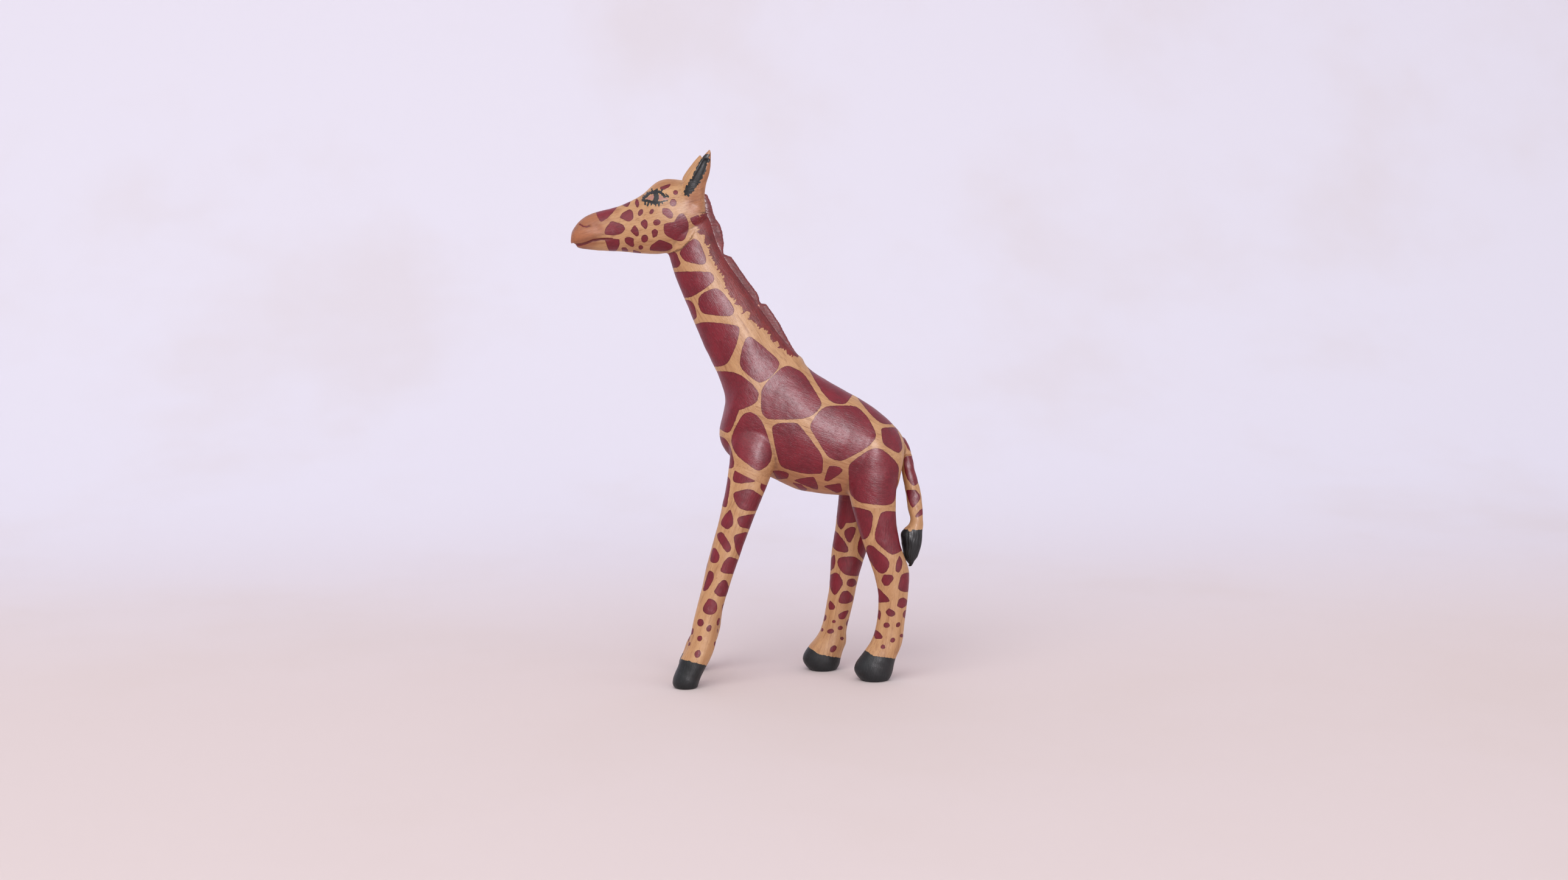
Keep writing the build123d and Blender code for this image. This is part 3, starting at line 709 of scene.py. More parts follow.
# %% [markdown]
# ## From the drawing to the wood
# Each point of each piece now learns what is painted on it. It is not a yes or a no but a distance to the
# edge of the paint, in millimetres, so the finish can later give that edge its brush marks. The side
# away from the drawing is painted by eye too, so there the same patches are shifted by slow waves. Near a
# joint two lists overlap, and the deeper patch of the two wins, so no patch stops dead at a glue line.

# %% Where every patch falls
LEG_MIDDLE = {
    "left_front_leg": -12.5, "right_front_leg": 12.5, "left_hind_leg": -9.2, "right_hind_leg": 9.2,
}
REACH = 2.5  # mm outside a patch, past which its distance no longer matters


def deepest(sheet, patches, spots=(), roundness=0.028):
    """How deep each point lies in the nearest patch or spot. Small patches get sharper corners."""
    depth = np.full(len(sheet), -REACH)
    for corners in patches:
        low, high = np.min(corners, 0), np.max(corners, 0)
        near = np.all((sheet > low - REACH) & (sheet < high + REACH), axis=1)
        softness = np.clip(roundness * np.sum(high - low), 0.14, 0.6)
        if near.any():
            inside = inside_patch(sheet[near], corners, softness) + 0.7 * softness
            depth[near] = np.maximum(depth[near], inside)
    for spot in spots:
        near = np.hypot(sheet[:, 0] - spot[0], sheet[:, 1] - spot[1]) < max(spot[2:4]) + REACH
        if near.any():
            depth[near] = np.maximum(depth[near], inside_spot(sheet[near], *spot))
    return depth


def shifted(sheet, amount, reach, seed):
    moves = np.stack([waves(sheet, reach, seed), waves(sheet, reach, seed + 1)], 1)
    return sheet + moves * np.asarray(amount)[:, None]


def patch_depth(node, points):
    """Depth inside the dark red patches for the points of one piece."""
    far_side = 1.7 * ramp(points[:, 1], 0, 8)
    sheet = shifted(on_sheet(points), far_side, 55, 31)
    body = deepest(sheet, BODY_PATCHES + NECK_PATCHES)
    if node in ("head", "left_ear", "right_ear"):
        face = deepest(sheet, HEAD_PATCHES, HEAD_SPOTS)
        behind_jaw = from_line(on_sheet(points), JAW_EDGE)[2] < 0
        on_neck = behind_jaw & (sheet[:, 1] < 170) & (sheet[:, 0] > -50)
        return np.where(on_neck, body, face)
    if node == "neck":
        above_jaw = (from_line(on_sheet(points), JAW_EDGE)[2] > 0) & (sheet[:, 1] > 159)
        face = deepest(sheet, HEAD_PATCHES, HEAD_SPOTS)
        return np.where(above_jaw, face, body)
    if node == "tail":
        return deepest(on_sheet(points, folded=False), TAIL_PATCHES)
    if node in LEG_PATCHES:
        lowering = 1 - ramp(points[:, 2], 60, 72)
        behind = 1.2 * ramp(points[:, 1] - LEG_MIDDLE[node], -1, 4) * lowering
        own = sheet if node == "right_front_leg" else on_sheet(points, folded=False)
        own = shifted(own, behind, 30, 41)
        leg = deepest(own, LEG_PATCHES[node], LEG_SPOTS[node])
        if node == "right_hind_leg":
            thigh = deepest(own, LEG_PATCHES[node][:1])
            return np.maximum(lowering * leg + (1 - lowering) * body, thigh)
        return np.maximum(leg, body)
    inner = (points[:, 1] > 2) & (points[:, 2] < 76) & (points[:, 0] > 20)
    thigh = deepest(on_sheet(points, folded=False), LEG_PATCHES["right_hind_leg"][:1])
    body = np.where(inner, np.maximum(body, thigh), body)
    shoulder = (points[:, 1] > 2) & (points[:, 2] < 90) & (points[:, 0] < 10)
    upper_arm = deepest(sheet, LEG_PATCHES["right_front_leg"][:3])
    return np.where(shoulder, np.maximum(body, upper_arm), body)


def keep(piece, name, values):
    """Stores one number per point on a piece."""
    layer = piece.data.attributes.new(name, "FLOAT", "POINT")
    layer.data.foreach_set("value", np.ascontiguousarray(values, np.float32))


for node, piece in carved.items():
    points = read_points(piece.data)
    depth = patch_depth(node, points) if node != "mane" else np.full(len(points), -REACH)
    keep(piece, "patch", depth)
    print(f"{node}: {np.mean(depth > 0):.0%} of the points are in a patch")

# %% [markdown]
# The other colours are drawn the same way. Black goes on the hooves, the tuft of the tail, inside the ears
# and round the eyes, with a few flicked lashes. The mane's dark red runs on to the neck and stops in
# ragged strokes. The eye's lines stop where the head turns over to its top, as a brush held from
# the side does.

# %% Lines of the eye, the mouth and the mane
EYE_WHITES = [
    [(-54, 181.3), (-51.3, 183.2), (-51, 181.1)],
    [(-49.5, 183), (-49.5, 181), (-45.4, 181.3)],
]
EYE_LINES = [
    (0.55, [(-54.8, 181.8), (-52.6, 183.6), (-50.2, 184.4), (-48.2, 183.6), (-46.9, 182.3)]),
    (0.48, [(-55.2, 181), (-52, 180.4), (-49.2, 180.2)]), (0.28, [(-49.2, 180.2), (-46, 180.8)]),
    (0.9, [(-50.4, 184.1), (-50.1, 182), (-50.6, 180.2)]), (0.3, [(-46.6, 183.4), (-45.6, 182.2)]),
    (0.3, [(-55.3, 183.3), (-54.2, 182.2)]), (0.3, [(-54, 184.3), (-53.2, 183.2)]),
    (0.3, [(-51.8, 185.2), (-51.5, 184)]), (0.3, [(-49.8, 185.2), (-49.9, 184)]),
    (0.3, [(-48, 184.8), (-48.4, 183.6)]), (0.34, [(-54.4, 179.3), (-54, 180.8)]),
    (0.42, [(-53.4, 178.9), (-53, 180.4)]), (0.34, [(-52.1, 179.1), (-52, 180.4)]),
    (0.34, [(-50.4, 178.9), (-50.4, 180.2)]), (0.42, [(-49.2, 179), (-49.3, 180.2)]),
    (0.26, [(-47.8, 179.6), (-48, 180.4)]),
]
EAR_GROOVE = [
    [(-40.3, 183), (-39.7, 184.6), (-36.1, 190.6), (-32.7, 190.4), (-33.6, 188.2), (-36.1, 184.8),
     (-38, 182.6)],
    [(-36.5, 189.8), (-34.7, 194.5), (-33.1, 197), (-30.9, 196.6), (-31.3, 194), (-32.5, 190.2)],
    [(-33.5, 196), (-31.7, 198.4), (-30.5, 198), (-30.5, 195.8), (-31.6, 194.3)],
]
MOUTH_PAINT = [(-81, 164.0), (-78, 164.2), (-76, 164.9), (-73.5, 165.9), (-70.5, 166.4), (-66.5, 166.4)]
MANE_PAINT = [
    (-34.4, 188), (-34.2, 180), (-33.6, 176), (-35.3, 171.5), (-33.5, 168.5), (-32.5, 166.5),
    (-30.6, 163.5),
    (-30.5, 161), (-29, 158.5), (-28, 156), (-26.5, 154), (-25.3, 152), (-24.5, 149), (-23, 146.5),
    (-21.8, 144),
    (-20, 141), (-18, 139.5), (-16, 139), (-15, 137), (-13.5, 134.5), (-12, 133), (-9, 131.5),
    (-8, 129),
    (-5.5, 127.5), (-4, 125.5), (-2, 123.5), (0, 122.5), (2.5, 121.5),
]
HOOF_TOPS = {
    "left_front_leg": [(-50, 10.7), (-41, 8.3), (-30, 5.4)],
    "right_front_leg": [(-50, 13), (-43.5, 11.3), (-30, 7.7)],
    "left_hind_leg": [(22, 15.4), (30.5, 9.5), (45, 7.6)],
    "right_hind_leg": [(4, 14.4), (10.5, 10), (26, 7.4)],
}


def stroke_depth(sheet, line, half_width):
    """Depth inside a brush stroke along a line."""
    return half_width - from_line(sheet, line)[0]


def mane_depth(sheet):
    gap, share, side = from_line(sheet, MANE_PAINT)
    hairs = np.stack([share * 90 + 0.5 * gap, gap * 0.08], 1)
    spray = 0.8 * np.abs(waves(hairs, 1.7, 21)) + 0.5 * waves(hairs, 5, 24) - 0.45
    depth = np.where((side > 0) & (share < 0.999), gap, -gap) + spray
    return np.minimum(depth, 176 - sheet[:, 1])


def black_depth(node, points, sheet):
    if node == "head":
        return np.maximum.reduce([stroke_depth(sheet, line, wide) for wide, line in EYE_LINES])
    if node in HOOF_TOPS:
        line = np.array(HOOF_TOPS[node])
        own = on_sheet(points, folded=False)
        return np.interp(own[:, 0], line[:, 0], line[:, 1]) - own[:, 1]
    if node == "tail":
        return TUFT_TOP - 0.6 - points[:, 2] + 0.25 * waves(points * (1, 1, 0.1), 1.6, 22)
    return np.full(len(points), -REACH)


def ear_depth(points, normals, sheet):
    lean = np.where(points[:, 1] > 0, 2.4 * ramp(sheet[:, 1], 184, 200), 0)
    groove = deepest(sheet + np.stack([lean, 0.6 * lean], 1), EAR_GROOVE) + 0.28 * waves(sheet, 1.6, 23)
    facing_out = 3 * (normals[:, 1] * np.sign(points[:, 1]) - 0.2)
    return np.minimum(groove, facing_out)


for node, piece in carved.items():
    points, normals = read_points(piece.data), read_normals(piece.data)
    sheet = on_sheet(points)
    black = black_depth(node, points, sheet)
    if node == "head":
        black = np.minimum(black, 3 * (np.abs(normals[:, 1]) - 0.3))
    if node in ("head", "left_ear", "right_ear"):
        black = np.maximum(black, ear_depth(points, normals, sheet))
    keep(piece, "black", black)
    far_off = np.full(len(points), -REACH)
    mane = mane_depth(sheet) if node in ("head", "neck", "torso") else far_off
    keep(piece, "mane", np.clip(mane, -REACH, REACH))
    side_on = 2 * (np.abs(normals[:, 1]) - 0.25)
    nostril = np.minimum(stroke_depth(sheet, NOSTRIL, 0.3), side_on)
    lips = np.maximum(stroke_depth(sheet, MOUTH_PAINT, 0.42), nostril)
    eye = np.minimum(deepest(sheet, EYE_WHITES), side_on)
    keep(piece, "lips", lips if node == "head" else far_off)
    keep(piece, "eye", eye if node == "head" else far_off)
    print(f"{node}: {np.mean(black > 0):.0%} black")

# %% [markdown]
# ## Washes, painted shade, wear and the run of the grain
# Three more things differ from place to place. A brown wash colours the muzzle, the brow and the ears'
# roots.
# The same brown is painted on as shade at the ears' roots, over the back of each ear and under the belly
# where the wood faces down. Hollows hold a little dirt while ridges are rubbed thin: how far a point
# stands out from its relaxed neighbourhood tells them apart. And the grain of each piece of wood runs
# along the piece, so each stores where it lies along, across and through the grain as three numbers.

# %% Wash, painted shade, hollows and grain
GRAIN = {
    "torso": (0.93, 0, -0.36), "neck": (-0.52, 0, 0.85), "head": (-0.97, 0, -0.24),
    "mane": (-0.52, 0, 0.85),
    "tail": (0.1, 0, 1), "left_ear": (0.45, -0.1, 0.88), "right_ear": (0.45, 0.1, 0.88),
    "left_front_leg": (0.36, 0.06, 0.93), "right_front_leg": (0.36, -0.06, 0.93),
    "left_hind_leg": (0.12, 0, 1), "right_hind_leg": (0.2, 0, 1),
}

for number, (node, piece) in enumerate(carved.items()):
    points, normals = read_points(piece.data), read_normals(piece.data)
    sheet = on_sheet(points)
    muzzle = ramp(-sheet[:, 0] + 0.5 * (sheet[:, 1] - 170) + 1.2 * waves(sheet, 6, 51), 66, 73)
    # The ears' roots get a brown wash that is also painted shade in the crease where the ear meets the
    # head.
    ear_root_wash_and_shade = np.clip(inside_spot(sheet, -35.8, 179.5, 9, 15, 8) / 2.5, 0, 1)
    # Painted shade: the back part of each ear, turned away from the light, is darkened with the wash's
    # brown.
    painted_ear_back_shade = ramp(sheet[:, 0] + 36.5 - 0.42 * (sheet[:, 1] - 184), -1.5, 1.5)
    painted_ear_back_shade *= ramp(sheet[:, 1], 178, 183)
    brow = np.clip(inside_spot(sheet, -47, 187.5, 15, 5, 10) / 1.5, 0, 1)
    # Painted shade: the underside of the belly, where the wood faces down, is darkened with the wash's
    # brown.
    belly = ramp(points[:, 2], 62, 70) * (1 - ramp(points[:, 2], 82, 92))
    under = ramp(-normals[:, 2], -0.1, 0.6) * belly
    # The stored wash holds the brown wash of the muzzle, brow and ear roots, and the painted shade on the
    # ears and under the belly.
    washes_and_shade = [muzzle, 0.8 * ear_root_wash_and_shade, 0.7 * painted_ear_back_shade, 0.4 * brow, 0.6 * under]
    keep(piece, "wash_and_shade", np.maximum.reduce(washes_and_shade))
    calm = relax(points, read_edges(piece.data), 14, 0.5)
    keep(piece, "hollow", -np.einsum("ij,ij->i", points - calm, normals))
    length = np.array(GRAIN[node], float)
    length /= np.linalg.norm(length)
    breadth = np.cross((0, 1, 0), length)
    breadth /= np.linalg.norm(breadth)
    third = np.cross(length, breadth)
    grain = np.stack([points @ breadth, points @ third, points @ length], 1) + 37.0 * number
    layer = piece.data.attributes.new("grain", "FLOAT_VECTOR", "POINT")
    layer.data.foreach_set("vector", np.ascontiguousarray(grain, np.float32).ravel())
print("pieces with grain:", len(carved))

# %% [markdown]
# ## A few helpers for finishes
# A finish is a small network of shader nodes. These helpers keep the cells below short: one adds a node
# and fills its inputs, others do sums, mix two colours or read what was stored on the points.

# %% Node helpers
def paint(red, green, blue):
    """A colour from the usual 0 to 255 numbers of a paint chart."""
    shares = [c / 255 for c in (red, green, blue)]
    linear = [((c + 0.055) / 1.055) ** 2.4 if c > 0.04 else c / 12.92 for c in shares]
    return (*linear, 1.0)


def add(tree, kind, inputs=None, **settings):
    """Adds a node. Each input is another node's output or a plain value."""
    made = tree.nodes.new(kind)
    for name, value in settings.items():
        setattr(made, name, value)
    for name, value in (inputs or {}).items():
        if isinstance(value, bpy.types.NodeSocket):
            tree.links.new(value, made.inputs[name])
        else:
            made.inputs[name].default_value = value
    return made


def sum_of(tree, operation, one, two=0.0, three=0.0):
    return add(tree, "ShaderNodeMath", {0: one, 1: two, 2: three}, operation=operation).outputs[0]


def mix(tree, mask, one, two, blend="MIX"):
    """Colour one where the mask is 0 and colour two where it is 1."""
    made = add(tree, "ShaderNodeMix", {0: mask, 6: one, 7: two}, data_type="RGBA", blend_type=blend)
    return made.outputs[2]


def step(tree, value, low, high, start=0.0, end=1.0):
    inputs = {0: value, 1: low, 2: high, 3: start, 4: end}
    return add(tree, "ShaderNodeMapRange", inputs, interpolation_type="SMOOTHSTEP").outputs[0]


def stored(tree, name, output="Fac"):
    return add(tree, "ShaderNodeAttribute", attribute_name=name).outputs[output]


def noise(tree, place, scale, detail=2.0, rough=0.5, twist=0.0):
    inputs = {"Vector": place, "Scale": scale, "Detail": detail, "Roughness": rough, "Distortion": twist}
    return add(tree, "ShaderNodeTexNoise", inputs).outputs["Fac"]


def stretched(tree, place, across, along):
    """Grain places scaled so that a pattern is short across the grain and long along it."""
    inputs = {0: place, 1: (across, across, along)}
    return add(tree, "ShaderNodeVectorMath", inputs, operation="MULTIPLY").outputs[0]


def effect(name, inputs, outputs):
    """An empty shader group with named inputs and outputs."""
    tree = bpy.data.node_groups.new(name, "ShaderNodeTree")
    for label, kind, value in inputs:
        socket = tree.interface.new_socket(label, in_out="INPUT", socket_type=kind)
        if value is not None:
            socket.default_value = value
    for label, kind in outputs:
        tree.interface.new_socket(label, in_out="OUTPUT", socket_type=kind)
    return tree, tree.nodes.new("NodeGroupInput").outputs, tree.nodes.new("NodeGroupOutput")


def use(tree, group, inputs):
    """Places an effect in a material and returns its outputs."""
    made = tree.nodes.new("ShaderNodeGroup")
    made.node_tree = group
    for name, value in inputs.items():
        if isinstance(value, bpy.types.NodeSocket):
            tree.links.new(value, made.inputs[name])
        else:
            made.inputs[name].default_value = value
    return made.outputs


FLOAT, VECTOR = "NodeSocketFloat", "NodeSocketVector"
print("a middle grey in linear light:", round(paint(128, 128, 128)[0], 3))

# %% [markdown]
# ## Effect: wood grain
# Pale carving wood has broad, faint bands and fine short fibres, both running along the piece. The group
# gives the tone of the bands, a mask for the darker pores and a height for the ridges that survive
# sanding and show through the paint as a soft sparkle.

# %% Wood grain
grain_group, put, out = effect(
    "wood grain", [("Grain", VECTOR, None), ("Bands", FLOAT, 0.35), ("Fibres", FLOAT, 3.5)],
    [("Tone", FLOAT), ("Pores", FLOAT), ("Ridges", FLOAT)])
broad = noise(grain_group, stretched(grain_group, put["Grain"], 1, 0.06), put["Bands"], 3, 0.55, 0.6)
fibres = noise(grain_group, stretched(grain_group, put["Grain"], 1, 0.07), put["Fibres"], 3, 0.65)
pores = noise(grain_group, stretched(grain_group, put["Grain"], 1, 0.16), 4.6, 2)
pores = step(grain_group, pores, 0.60, 0.72)
tone = sum_of(grain_group, "MULTIPLY_ADD", broad, 0.65, sum_of(grain_group, "MULTIPLY", fibres, 0.35))
grain_group.links.new(step(grain_group, tone, 0.3, 0.7), out.inputs["Tone"])
grain_group.links.new(pores, out.inputs["Pores"])
ridges = sum_of(grain_group, "SUBTRACT", fibres, sum_of(grain_group, "MULTIPLY", pores, 0.5))
grain_group.links.new(ridges, out.inputs["Ridges"])
print("grain sockets:", [item.name for item in grain_group.interface.items_tree])

# %% [markdown]
# ## Effect: the edge of hand-brushed paint
# The stored distance says how deep a point lies inside the paint. A small brush never follows a line
# exactly, so some noise is added to the distance before it becomes a mask. The same group also marks the
# rim, where wet paint gathers and dries a little darker.

# %% Brushed edge
edge_group, put, out = effect(
    "brushed edge",
    [("Depth", FLOAT, 0.0), ("Wobble", FLOAT, 0.15), ("Softness", FLOAT, 0.06), ("Reach", FLOAT, 1.4)],
    [("Mask", FLOAT), ("Rim", FLOAT)])
place = add(edge_group, "ShaderNodeTexCoord").outputs["Object"]
slow = noise(edge_group, place, sum_of(edge_group, "DIVIDE", 1000.0, put["Reach"]), 2)
quick = noise(edge_group, place, 3300, 2)
moved = sum_of(edge_group, "MULTIPLY_ADD", slow, 2.6, sum_of(edge_group, "MULTIPLY_ADD", quick, 1.0, -1.8))
depth = sum_of(edge_group, "MULTIPLY_ADD", moved, put["Wobble"], put["Depth"])
low = sum_of(edge_group, "MULTIPLY", put["Softness"], -1.0)
mask = step(edge_group, depth, low, put["Softness"])
edge_group.links.new(mask, out.inputs["Mask"])
rim = sum_of(edge_group, "MULTIPLY", mask, step(edge_group, depth, 0.0, 0.55, 1.0, 0.0))
edge_group.links.new(rim, out.inputs["Rim"])
print("edge sockets:", [item.name for item in edge_group.interface.items_tree])

# %% [markdown]
# ## Effect: brush streaks
# Thin paint shows the pull of the brush as streaks, and here and there a thin spot. One output is the
# tone of the streaks, the other their height under the varnish.

# %% Brush streaks
streak_group, put, out = effect(
    "brush streaks", [("Grain", VECTOR, None), ("Width", FLOAT, 2.2)],
    [("Tone", FLOAT), ("Height", FLOAT)])
pull = noise(streak_group, stretched(streak_group, put["Grain"], 1, 0.2), put["Width"], 3, 0.6, 0.4)
cloud = noise(streak_group, put["Grain"], 0.16, 3, 0.55)
tone = sum_of(streak_group, "MULTIPLY_ADD", pull, 0.5, sum_of(streak_group, "MULTIPLY", cloud, 0.5))
streak_group.links.new(step(streak_group, tone, 0.32, 0.68), out.inputs["Tone"])
streak_group.links.new(pull, out.inputs["Height"])
print("streak sockets:", [item.name for item in streak_group.interface.items_tree])

# %% [markdown]
# ## Effect: dirt in the hollows, wear on the ridges
# Years on a shelf leave brown dust where a cloth can't reach and rub the varnish thin on what stands out.
# The stored hollow number is above zero in a groove and below zero on a ridge.

# %% Dirt and wear
wear_group, put, out = effect(
    "dirt and wear", [("Hollow", FLOAT, 0.0), ("Reach", FLOAT, 0.12)], [("Dirt", FLOAT), ("Wear", FLOAT)])
place = add(wear_group, "ShaderNodeTexCoord").outputs["Object"]
patchy = noise(wear_group, place, 420, 4, 0.6)
dirt = sum_of(wear_group, "MULTIPLY", step(wear_group, put["Hollow"], 0.0, put["Reach"]), patchy)
wear_group.links.new(sum_of(wear_group, "MULTIPLY", dirt, 1.5), out.inputs["Dirt"])
rubbed = step(wear_group, sum_of(wear_group, "MULTIPLY", put["Hollow"], -1.0), 0.02, put["Reach"])
rubbed = sum_of(wear_group, "MULTIPLY", rubbed, step(wear_group, patchy, 0.42, 0.62))
wear_group.links.new(rubbed, out.inputs["Wear"])
print("wear sockets:", [item.name for item in wear_group.interface.items_tree])

# %% [markdown]
# ## The painted wood
# From below to above: pale wood with its grain, the brown wash and painted shade, the dark red patches,
# the mane's red where it runs on to the neck, the eye, the lips and the black. Everything lies under the
# same thin varnish.
# The colours stay in this one network because they cover each other in that order.

# %% Painted wood
def new_finish(name, **sockets):
    """A material with a Principled shader. Constant values are set on the shader's own sockets."""
    material = bpy.data.materials.new(name)
    material.use_nodes = True
    shader = material.node_tree.nodes["Principled BSDF"]
    for label, value in sockets.items():
        shader.inputs[label.replace("_", " ")].default_value = value
    return material.node_tree, shader, material


tree, shader, painted_wood = new_finish(
    "painted_wood", Specular_IOR_Level=0.32, Coat_Weight=0.15, Coat_Roughness=0.35, Coat_IOR=1.5)
grain = stored(tree, "grain", "Vector")
wood = use(tree, grain_group, {"Grain": grain})
streaks = use(tree, streak_group, {"Grain": grain})
worn = use(tree, wear_group, {"Hollow": stored(tree, "hollow")})

colour = mix(tree, wood["Tone"], paint(204, 158, 112), paint(181, 131, 88))
late_wood = step(tree, noise(tree, stretched(tree, grain, 1, 0.045), 1.15, 2, 0.6), 0.52, 0.72)
colour = mix(tree, sum_of(tree, "MULTIPLY", late_wood, 0.55), colour, paint(146, 94, 56))
colour = mix(tree, sum_of(tree, "MULTIPLY", wood["Pores"], 0.35), colour, paint(132, 86, 48))
# The brown of the stored wash: a real wash on the muzzle, brow and ear roots, and painted shade under the
# belly and on the ears.
wash_and_shade = mix(tree, wood["Tone"], paint(178, 112, 74), paint(140, 86, 58))
colour = mix(tree, stored(tree, "wash_and_shade"), colour, wash_and_shade)
colour = mix(tree, worn["Dirt"], colour, paint(112, 74, 48))

patch = use(tree, edge_group, {"Depth": stored(tree, "patch")})
red = mix(tree, streaks["Tone"], paint(102, 15, 31), paint(130, 24, 41))
red = mix(tree, sum_of(tree, "MULTIPLY", patch["Rim"], 0.4), red, paint(74, 10, 20))
red = mix(tree, sum_of(tree, "MULTIPLY", worn["Wear"], 0.35), red, paint(150, 74, 58))
colour = mix(tree, patch["Mask"], colour, red)

run_on = use(tree, edge_group, {"Depth": stored(tree, "mane"), "Wobble": 0.5, "Reach": 1.1})
mane_red = mix(tree, streaks["Tone"], paint(94, 20, 24), paint(134, 38, 36))
colour = mix(tree, run_on["Mask"], colour, mane_red)

white = use(tree, edge_group, {"Depth": stored(tree, "eye"), "Wobble": 0.12})
colour = mix(tree, white["Mask"], colour, paint(174, 122, 108))
lips = use(tree, edge_group, {"Depth": stored(tree, "lips"), "Wobble": 0.2})
colour = mix(tree, lips["Mask"], colour, paint(112, 34, 34))
black = use(tree, edge_group, {"Depth": stored(tree, "black"), "Wobble": 0.34, "Reach": 0.9})
soot = mix(tree, streaks["Tone"], paint(14, 17, 19), paint(30, 33, 36))
colour = mix(tree, black["Mask"], colour, soot)
tree.links.new(colour, shader.inputs["Base Color"])

covered = sum_of(tree, "MAXIMUM", patch["Mask"], sum_of(tree, "MAXIMUM", run_on["Mask"], black["Mask"]))
rough = sum_of(tree, "MULTIPLY_ADD", streaks["Height"], 0.16, step(tree, covered, 0, 1, 0.40, 0.33))
rough = sum_of(tree, "MULTIPLY_ADD", worn["Dirt"], 0.2, rough)
tree.links.new(rough, shader.inputs["Roughness"])
height = sum_of(tree, "MULTIPLY_ADD", wood["Ridges"], 0.5, sum_of(tree, "MULTIPLY", covered, 0.35))
height = sum_of(tree, "MULTIPLY_ADD", streaks["Height"], 0.7, height)
swells = noise(tree, stretched(tree, grain, 1, 0.25), 1.3, 2, 0.6)
height = sum_of(tree, "MULTIPLY_ADD", swells, 0.6, height)
bump = add(tree, "ShaderNodeBump", {"Height": height, "Distance": 0.00014, "Strength": 0.9})
tree.links.new(bump.outputs[0], shader.inputs["Normal"])
print("painted wood nodes:", len(tree.nodes))

# %% [markdown]
# ## The mane's finish
# The mane is painted all over in one red, dry-brushed so that a few pale chips of wood are left along its
# foot and on its worn edge.

# %% Painted mane
tree, shader, painted_mane = new_finish("painted_mane", Coat_Weight=0.2, Coat_Roughness=0.35)
grain = stored(tree, "grain", "Vector")
wood = use(tree, grain_group, {"Grain": grain, "Fibres": 4.5})
streaks = use(tree, streak_group, {"Grain": grain, "Width": 3.0})
worn = use(tree, wear_group, {"Hollow": stored(tree, "hollow"), "Reach": 0.1})
colour = mix(tree, streaks["Tone"], paint(92, 18, 24), paint(130, 36, 38))
colour = mix(tree, sum_of(tree, "MULTIPLY", worn["Dirt"], 0.7), colour, paint(58, 18, 22))
colour = mix(tree, sum_of(tree, "MULTIPLY", worn["Wear"], 0.5), colour, paint(164, 82, 74))
chips = use(tree, edge_group, {"Depth": stored(tree, "chip"), "Wobble": 0.4, "Reach": 0.8})
bare = mix(tree, wood["Tone"], paint(214, 160, 126), paint(206, 126, 112))
colour = mix(tree, chips["Mask"], colour, bare)
tree.links.new(colour, shader.inputs["Base Color"])
rough = step(tree, streaks["Height"], 0.3, 0.7, 0.34, 0.48)
rough = sum_of(tree, "MULTIPLY_ADD", worn["Dirt"], 0.25, rough)
tree.links.new(rough, shader.inputs["Roughness"])
height = sum_of(tree, "MULTIPLY_ADD", wood["Ridges"], 0.6, sum_of(tree, "MULTIPLY", chips["Mask"], -0.6))
bump = add(tree, "ShaderNodeBump", {"Height": height, "Distance": 0.00009, "Strength": 0.7})
tree.links.new(bump.outputs[0], shader.inputs["Normal"])
print("painted mane nodes:", len(tree.nodes))

# %% [markdown]
# ## The pegs' finish
# The pegs are plain turned dowels, glued in and never seen. They keep their bare wood, with grain running
# upright and a trace of dried glue.

# %% Bare peg wood
tree, shader, peg_wood = new_finish("peg_wood")
place = add(tree, "ShaderNodeTexCoord").outputs["Object"]
wood = use(tree, grain_group, {"Grain": stretched(tree, place, 1000, 1000), "Bands": 0.8})
glue = step(tree, noise(tree, place, 260, 3, 0.6), 0.52, 0.6)
colour = mix(tree, wood["Tone"], paint(214, 178, 128), paint(186, 142, 94))
colour = mix(tree, sum_of(tree, "MULTIPLY", wood["Pores"], 0.4), colour, paint(134, 92, 56))
colour = mix(tree, sum_of(tree, "MULTIPLY", glue, 0.5), colour, paint(206, 176, 120))
tree.links.new(colour, shader.inputs["Base Color"])
tree.links.new(step(tree, glue, 0, 1, 0.62, 0.36), shader.inputs["Roughness"])
bump = add(tree, "ShaderNodeBump", {"Height": wood["Ridges"], "Distance": 0.00006, "Strength": 0.6})
tree.links.new(bump.outputs[0], shader.inputs["Normal"])
print("peg nodes:", len(tree.nodes))

# %% [markdown]
# ## Chips on the mane
# The paint has come off in a row of small chips where the mane meets the neck, and in a few places on its
# worn edge.

# %% Place the chips
CHIPS = [
    (-28, 165.5), (-26.3, 161), (-23.6, 157), (-25.4, 158.3), (-19.6, 150.8), (-16.2, 146.2),
    (-12, 141.4), (-8.3, 134.6), (-6, 131.8), (-3, 127.6), (-22.4, 160.6), (-14.6, 150.2),
]

piece = carved["mane"]
points = read_points(piece.data)
sheet = on_sheet(points)
spots = []
for number, (u, v) in enumerate(CHIPS):
    wide, high = 0.3 + 0.2 * (number % 3), 0.6 + 0.3 * (number % 2)
    spots.append(inside_spot(sheet, u, v, wide, high, tilt=35))
keep(piece, "chip", np.maximum(np.maximum.reduce(spots), -REACH))
print("chips:", len(CHIPS))

# %% [markdown]
# ## Back into the frame
# The carved pieces were made in millimetres, so they are scaled down to metres. Each one then takes the
# place of the frame's piece of the same name, which is hidden, rides on the root body and gets its painted
# finish. The pegs need no carving, so the frame's own pegs stay and only get their finish.

# %% Put the pieces in place
for node, piece in carved.items():
    write_points(piece.data, read_points(piece.data) / 1000)
    piece.data.materials.append(painted_mane if node == "mane" else painted_wood)
    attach(piece, "root")
    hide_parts(node)

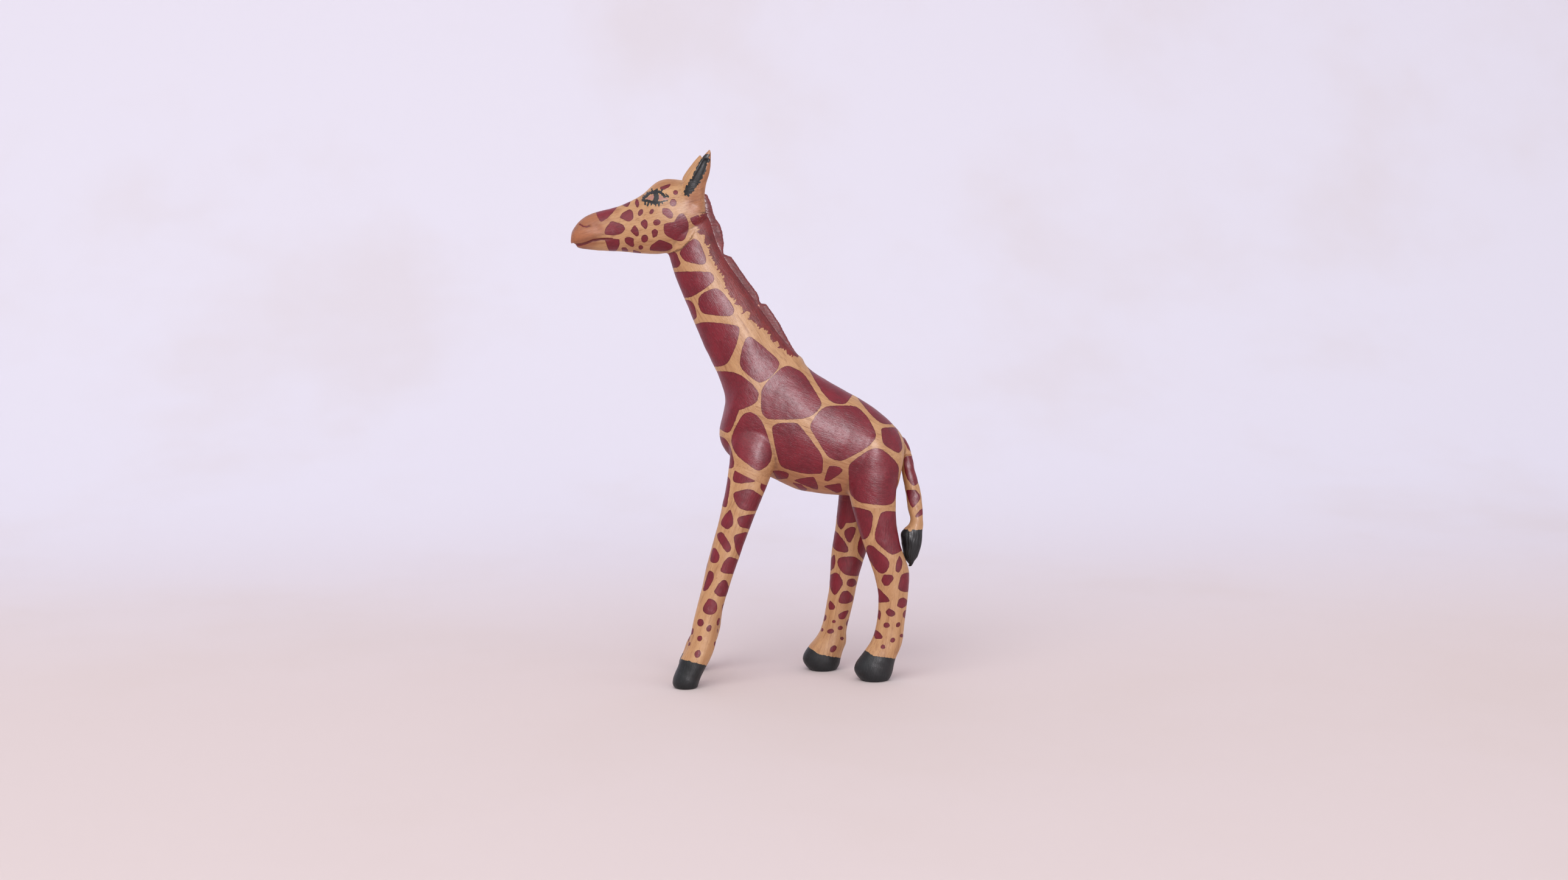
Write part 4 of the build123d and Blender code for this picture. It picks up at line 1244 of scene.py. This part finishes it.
for node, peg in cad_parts.items():
    if node.endswith("_peg"):
        peg.data.materials.clear()
        peg.data.materials.append(peg_wood)
for leftover in (skin, mane_skin, tail_skin):
    bpy.data.meshes.remove(leftover)
print("pieces placed:", len(carved))

# %% [markdown]
# ## The stage
# A pale sheet runs back from the figure and sweeps up behind it without a corner, so no line crosses the
# picture. Its tint changes slowly from warm in front to cool behind.

# %% Floor and backdrop
profile = [(-2.5, 0.0), (0.24, 0.0)]
for degrees in range(6, 91, 6):
    angle = math.radians(degrees)
    profile.append((0.24 + 0.45 * math.sin(angle), 0.45 - 0.45 * math.cos(angle)))
profile.append((0.69, 3.0))
places = [(x, y, z) for x in (-3.0, 3.0) for y, z in profile]
count = len(profile)
faces = [(i, i + 1, count + i + 1, count + i) for i in range(count - 1)]
sweep = mesh_object("sweep", places, faces)
for face in sweep.data.polygons:
    face.use_smooth = True
sweep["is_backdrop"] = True

tree, shader, cloth = new_finish("pale_cloth", Roughness=0.9)
place = add(tree, "ShaderNodeTexCoord").outputs["Object"]
parts = add(tree, "ShaderNodeSeparateXYZ", {0: place}).outputs
behind = step(tree, sum_of(tree, "ADD", parts[1], parts[2]), -0.05, 0.42)
colour = mix(tree, behind, paint(222, 208, 206), paint(231, 228, 240))
blotches = step(tree, noise(tree, place, 5, 4, 0.6), 0.45, 0.75)
colour = mix(tree, sum_of(tree, "MULTIPLY", blotches, 0.25), colour, paint(214, 198, 190))
tree.links.new(colour, shader.inputs["Base Color"])
sweep.data.materials.append(cloth)
print("sweep faces:", len(sweep.data.polygons))

# %% [markdown]
# One large soft light stands to the left, high and in front, a weak one to the right, and an even sky
# fills the rest, so the shadows stay weak. The small light called shine is only seen in the varnish: it
# gives the flank, the neck and the haunch their soft highlights and leaves the colours as they are.

# %% Lights
def soft_light(name, place, aim, size, watts, tint):
    light = bpy.data.lights.new(name, "AREA")
    light.shape = "DISK"
    light.size = size
    light.energy = watts
    light.color = tint
    thing = bpy.data.objects.new(name, light)
    thing.location = place
    thing.rotation_euler = (Vector(aim) - Vector(place)).to_track_quat("-Z", "Y").to_euler()
    bpy.context.scene.collection.objects.link(thing)
    thing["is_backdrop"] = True
    return thing


soft_light("window", (-0.55, -0.95, 1.2), (0.02, 0.0, 0.1), 1.6, 11, (1.0, 0.98, 0.97))
shine = soft_light("shine", (0.38, -1.42, 0.52), (0.0, 0.0, 0.1), 0.42, 31, (1.0, 0.94, 0.98))
shine.visible_diffuse = False
soft_light("fill", (1.1, -0.9, 0.7), (0.02, 0.0, 0.1), 1.2, 2, (1.0, 0.95, 0.95))
world = bpy.data.worlds.new("sky")
world.use_nodes = True
world.node_tree.nodes["Background"].inputs[0].default_value = (0.98, 0.96, 1.0, 1)
world.node_tree.nodes["Background"].inputs[1].default_value = 0.75
bpy.context.scene.world = world
bpy.context.scene.view_settings.view_transform = "Standard"
print("lights placed")

# %% [markdown]
# ## Last checks
# Blender does not change the figure's size, so its box is written beside the frame's own.

# %% Compare the boxes and finish
made_box = [list(map(float, corner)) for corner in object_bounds()]
for axis, name in enumerate("xyz"):
    wide = [1000 * (box[1][axis] - box[0][axis]) for box in (frame_box, made_box)]
    print(f"{name}: frame {wide[0]:.2f} mm, carved {wide[1]:.2f} mm")
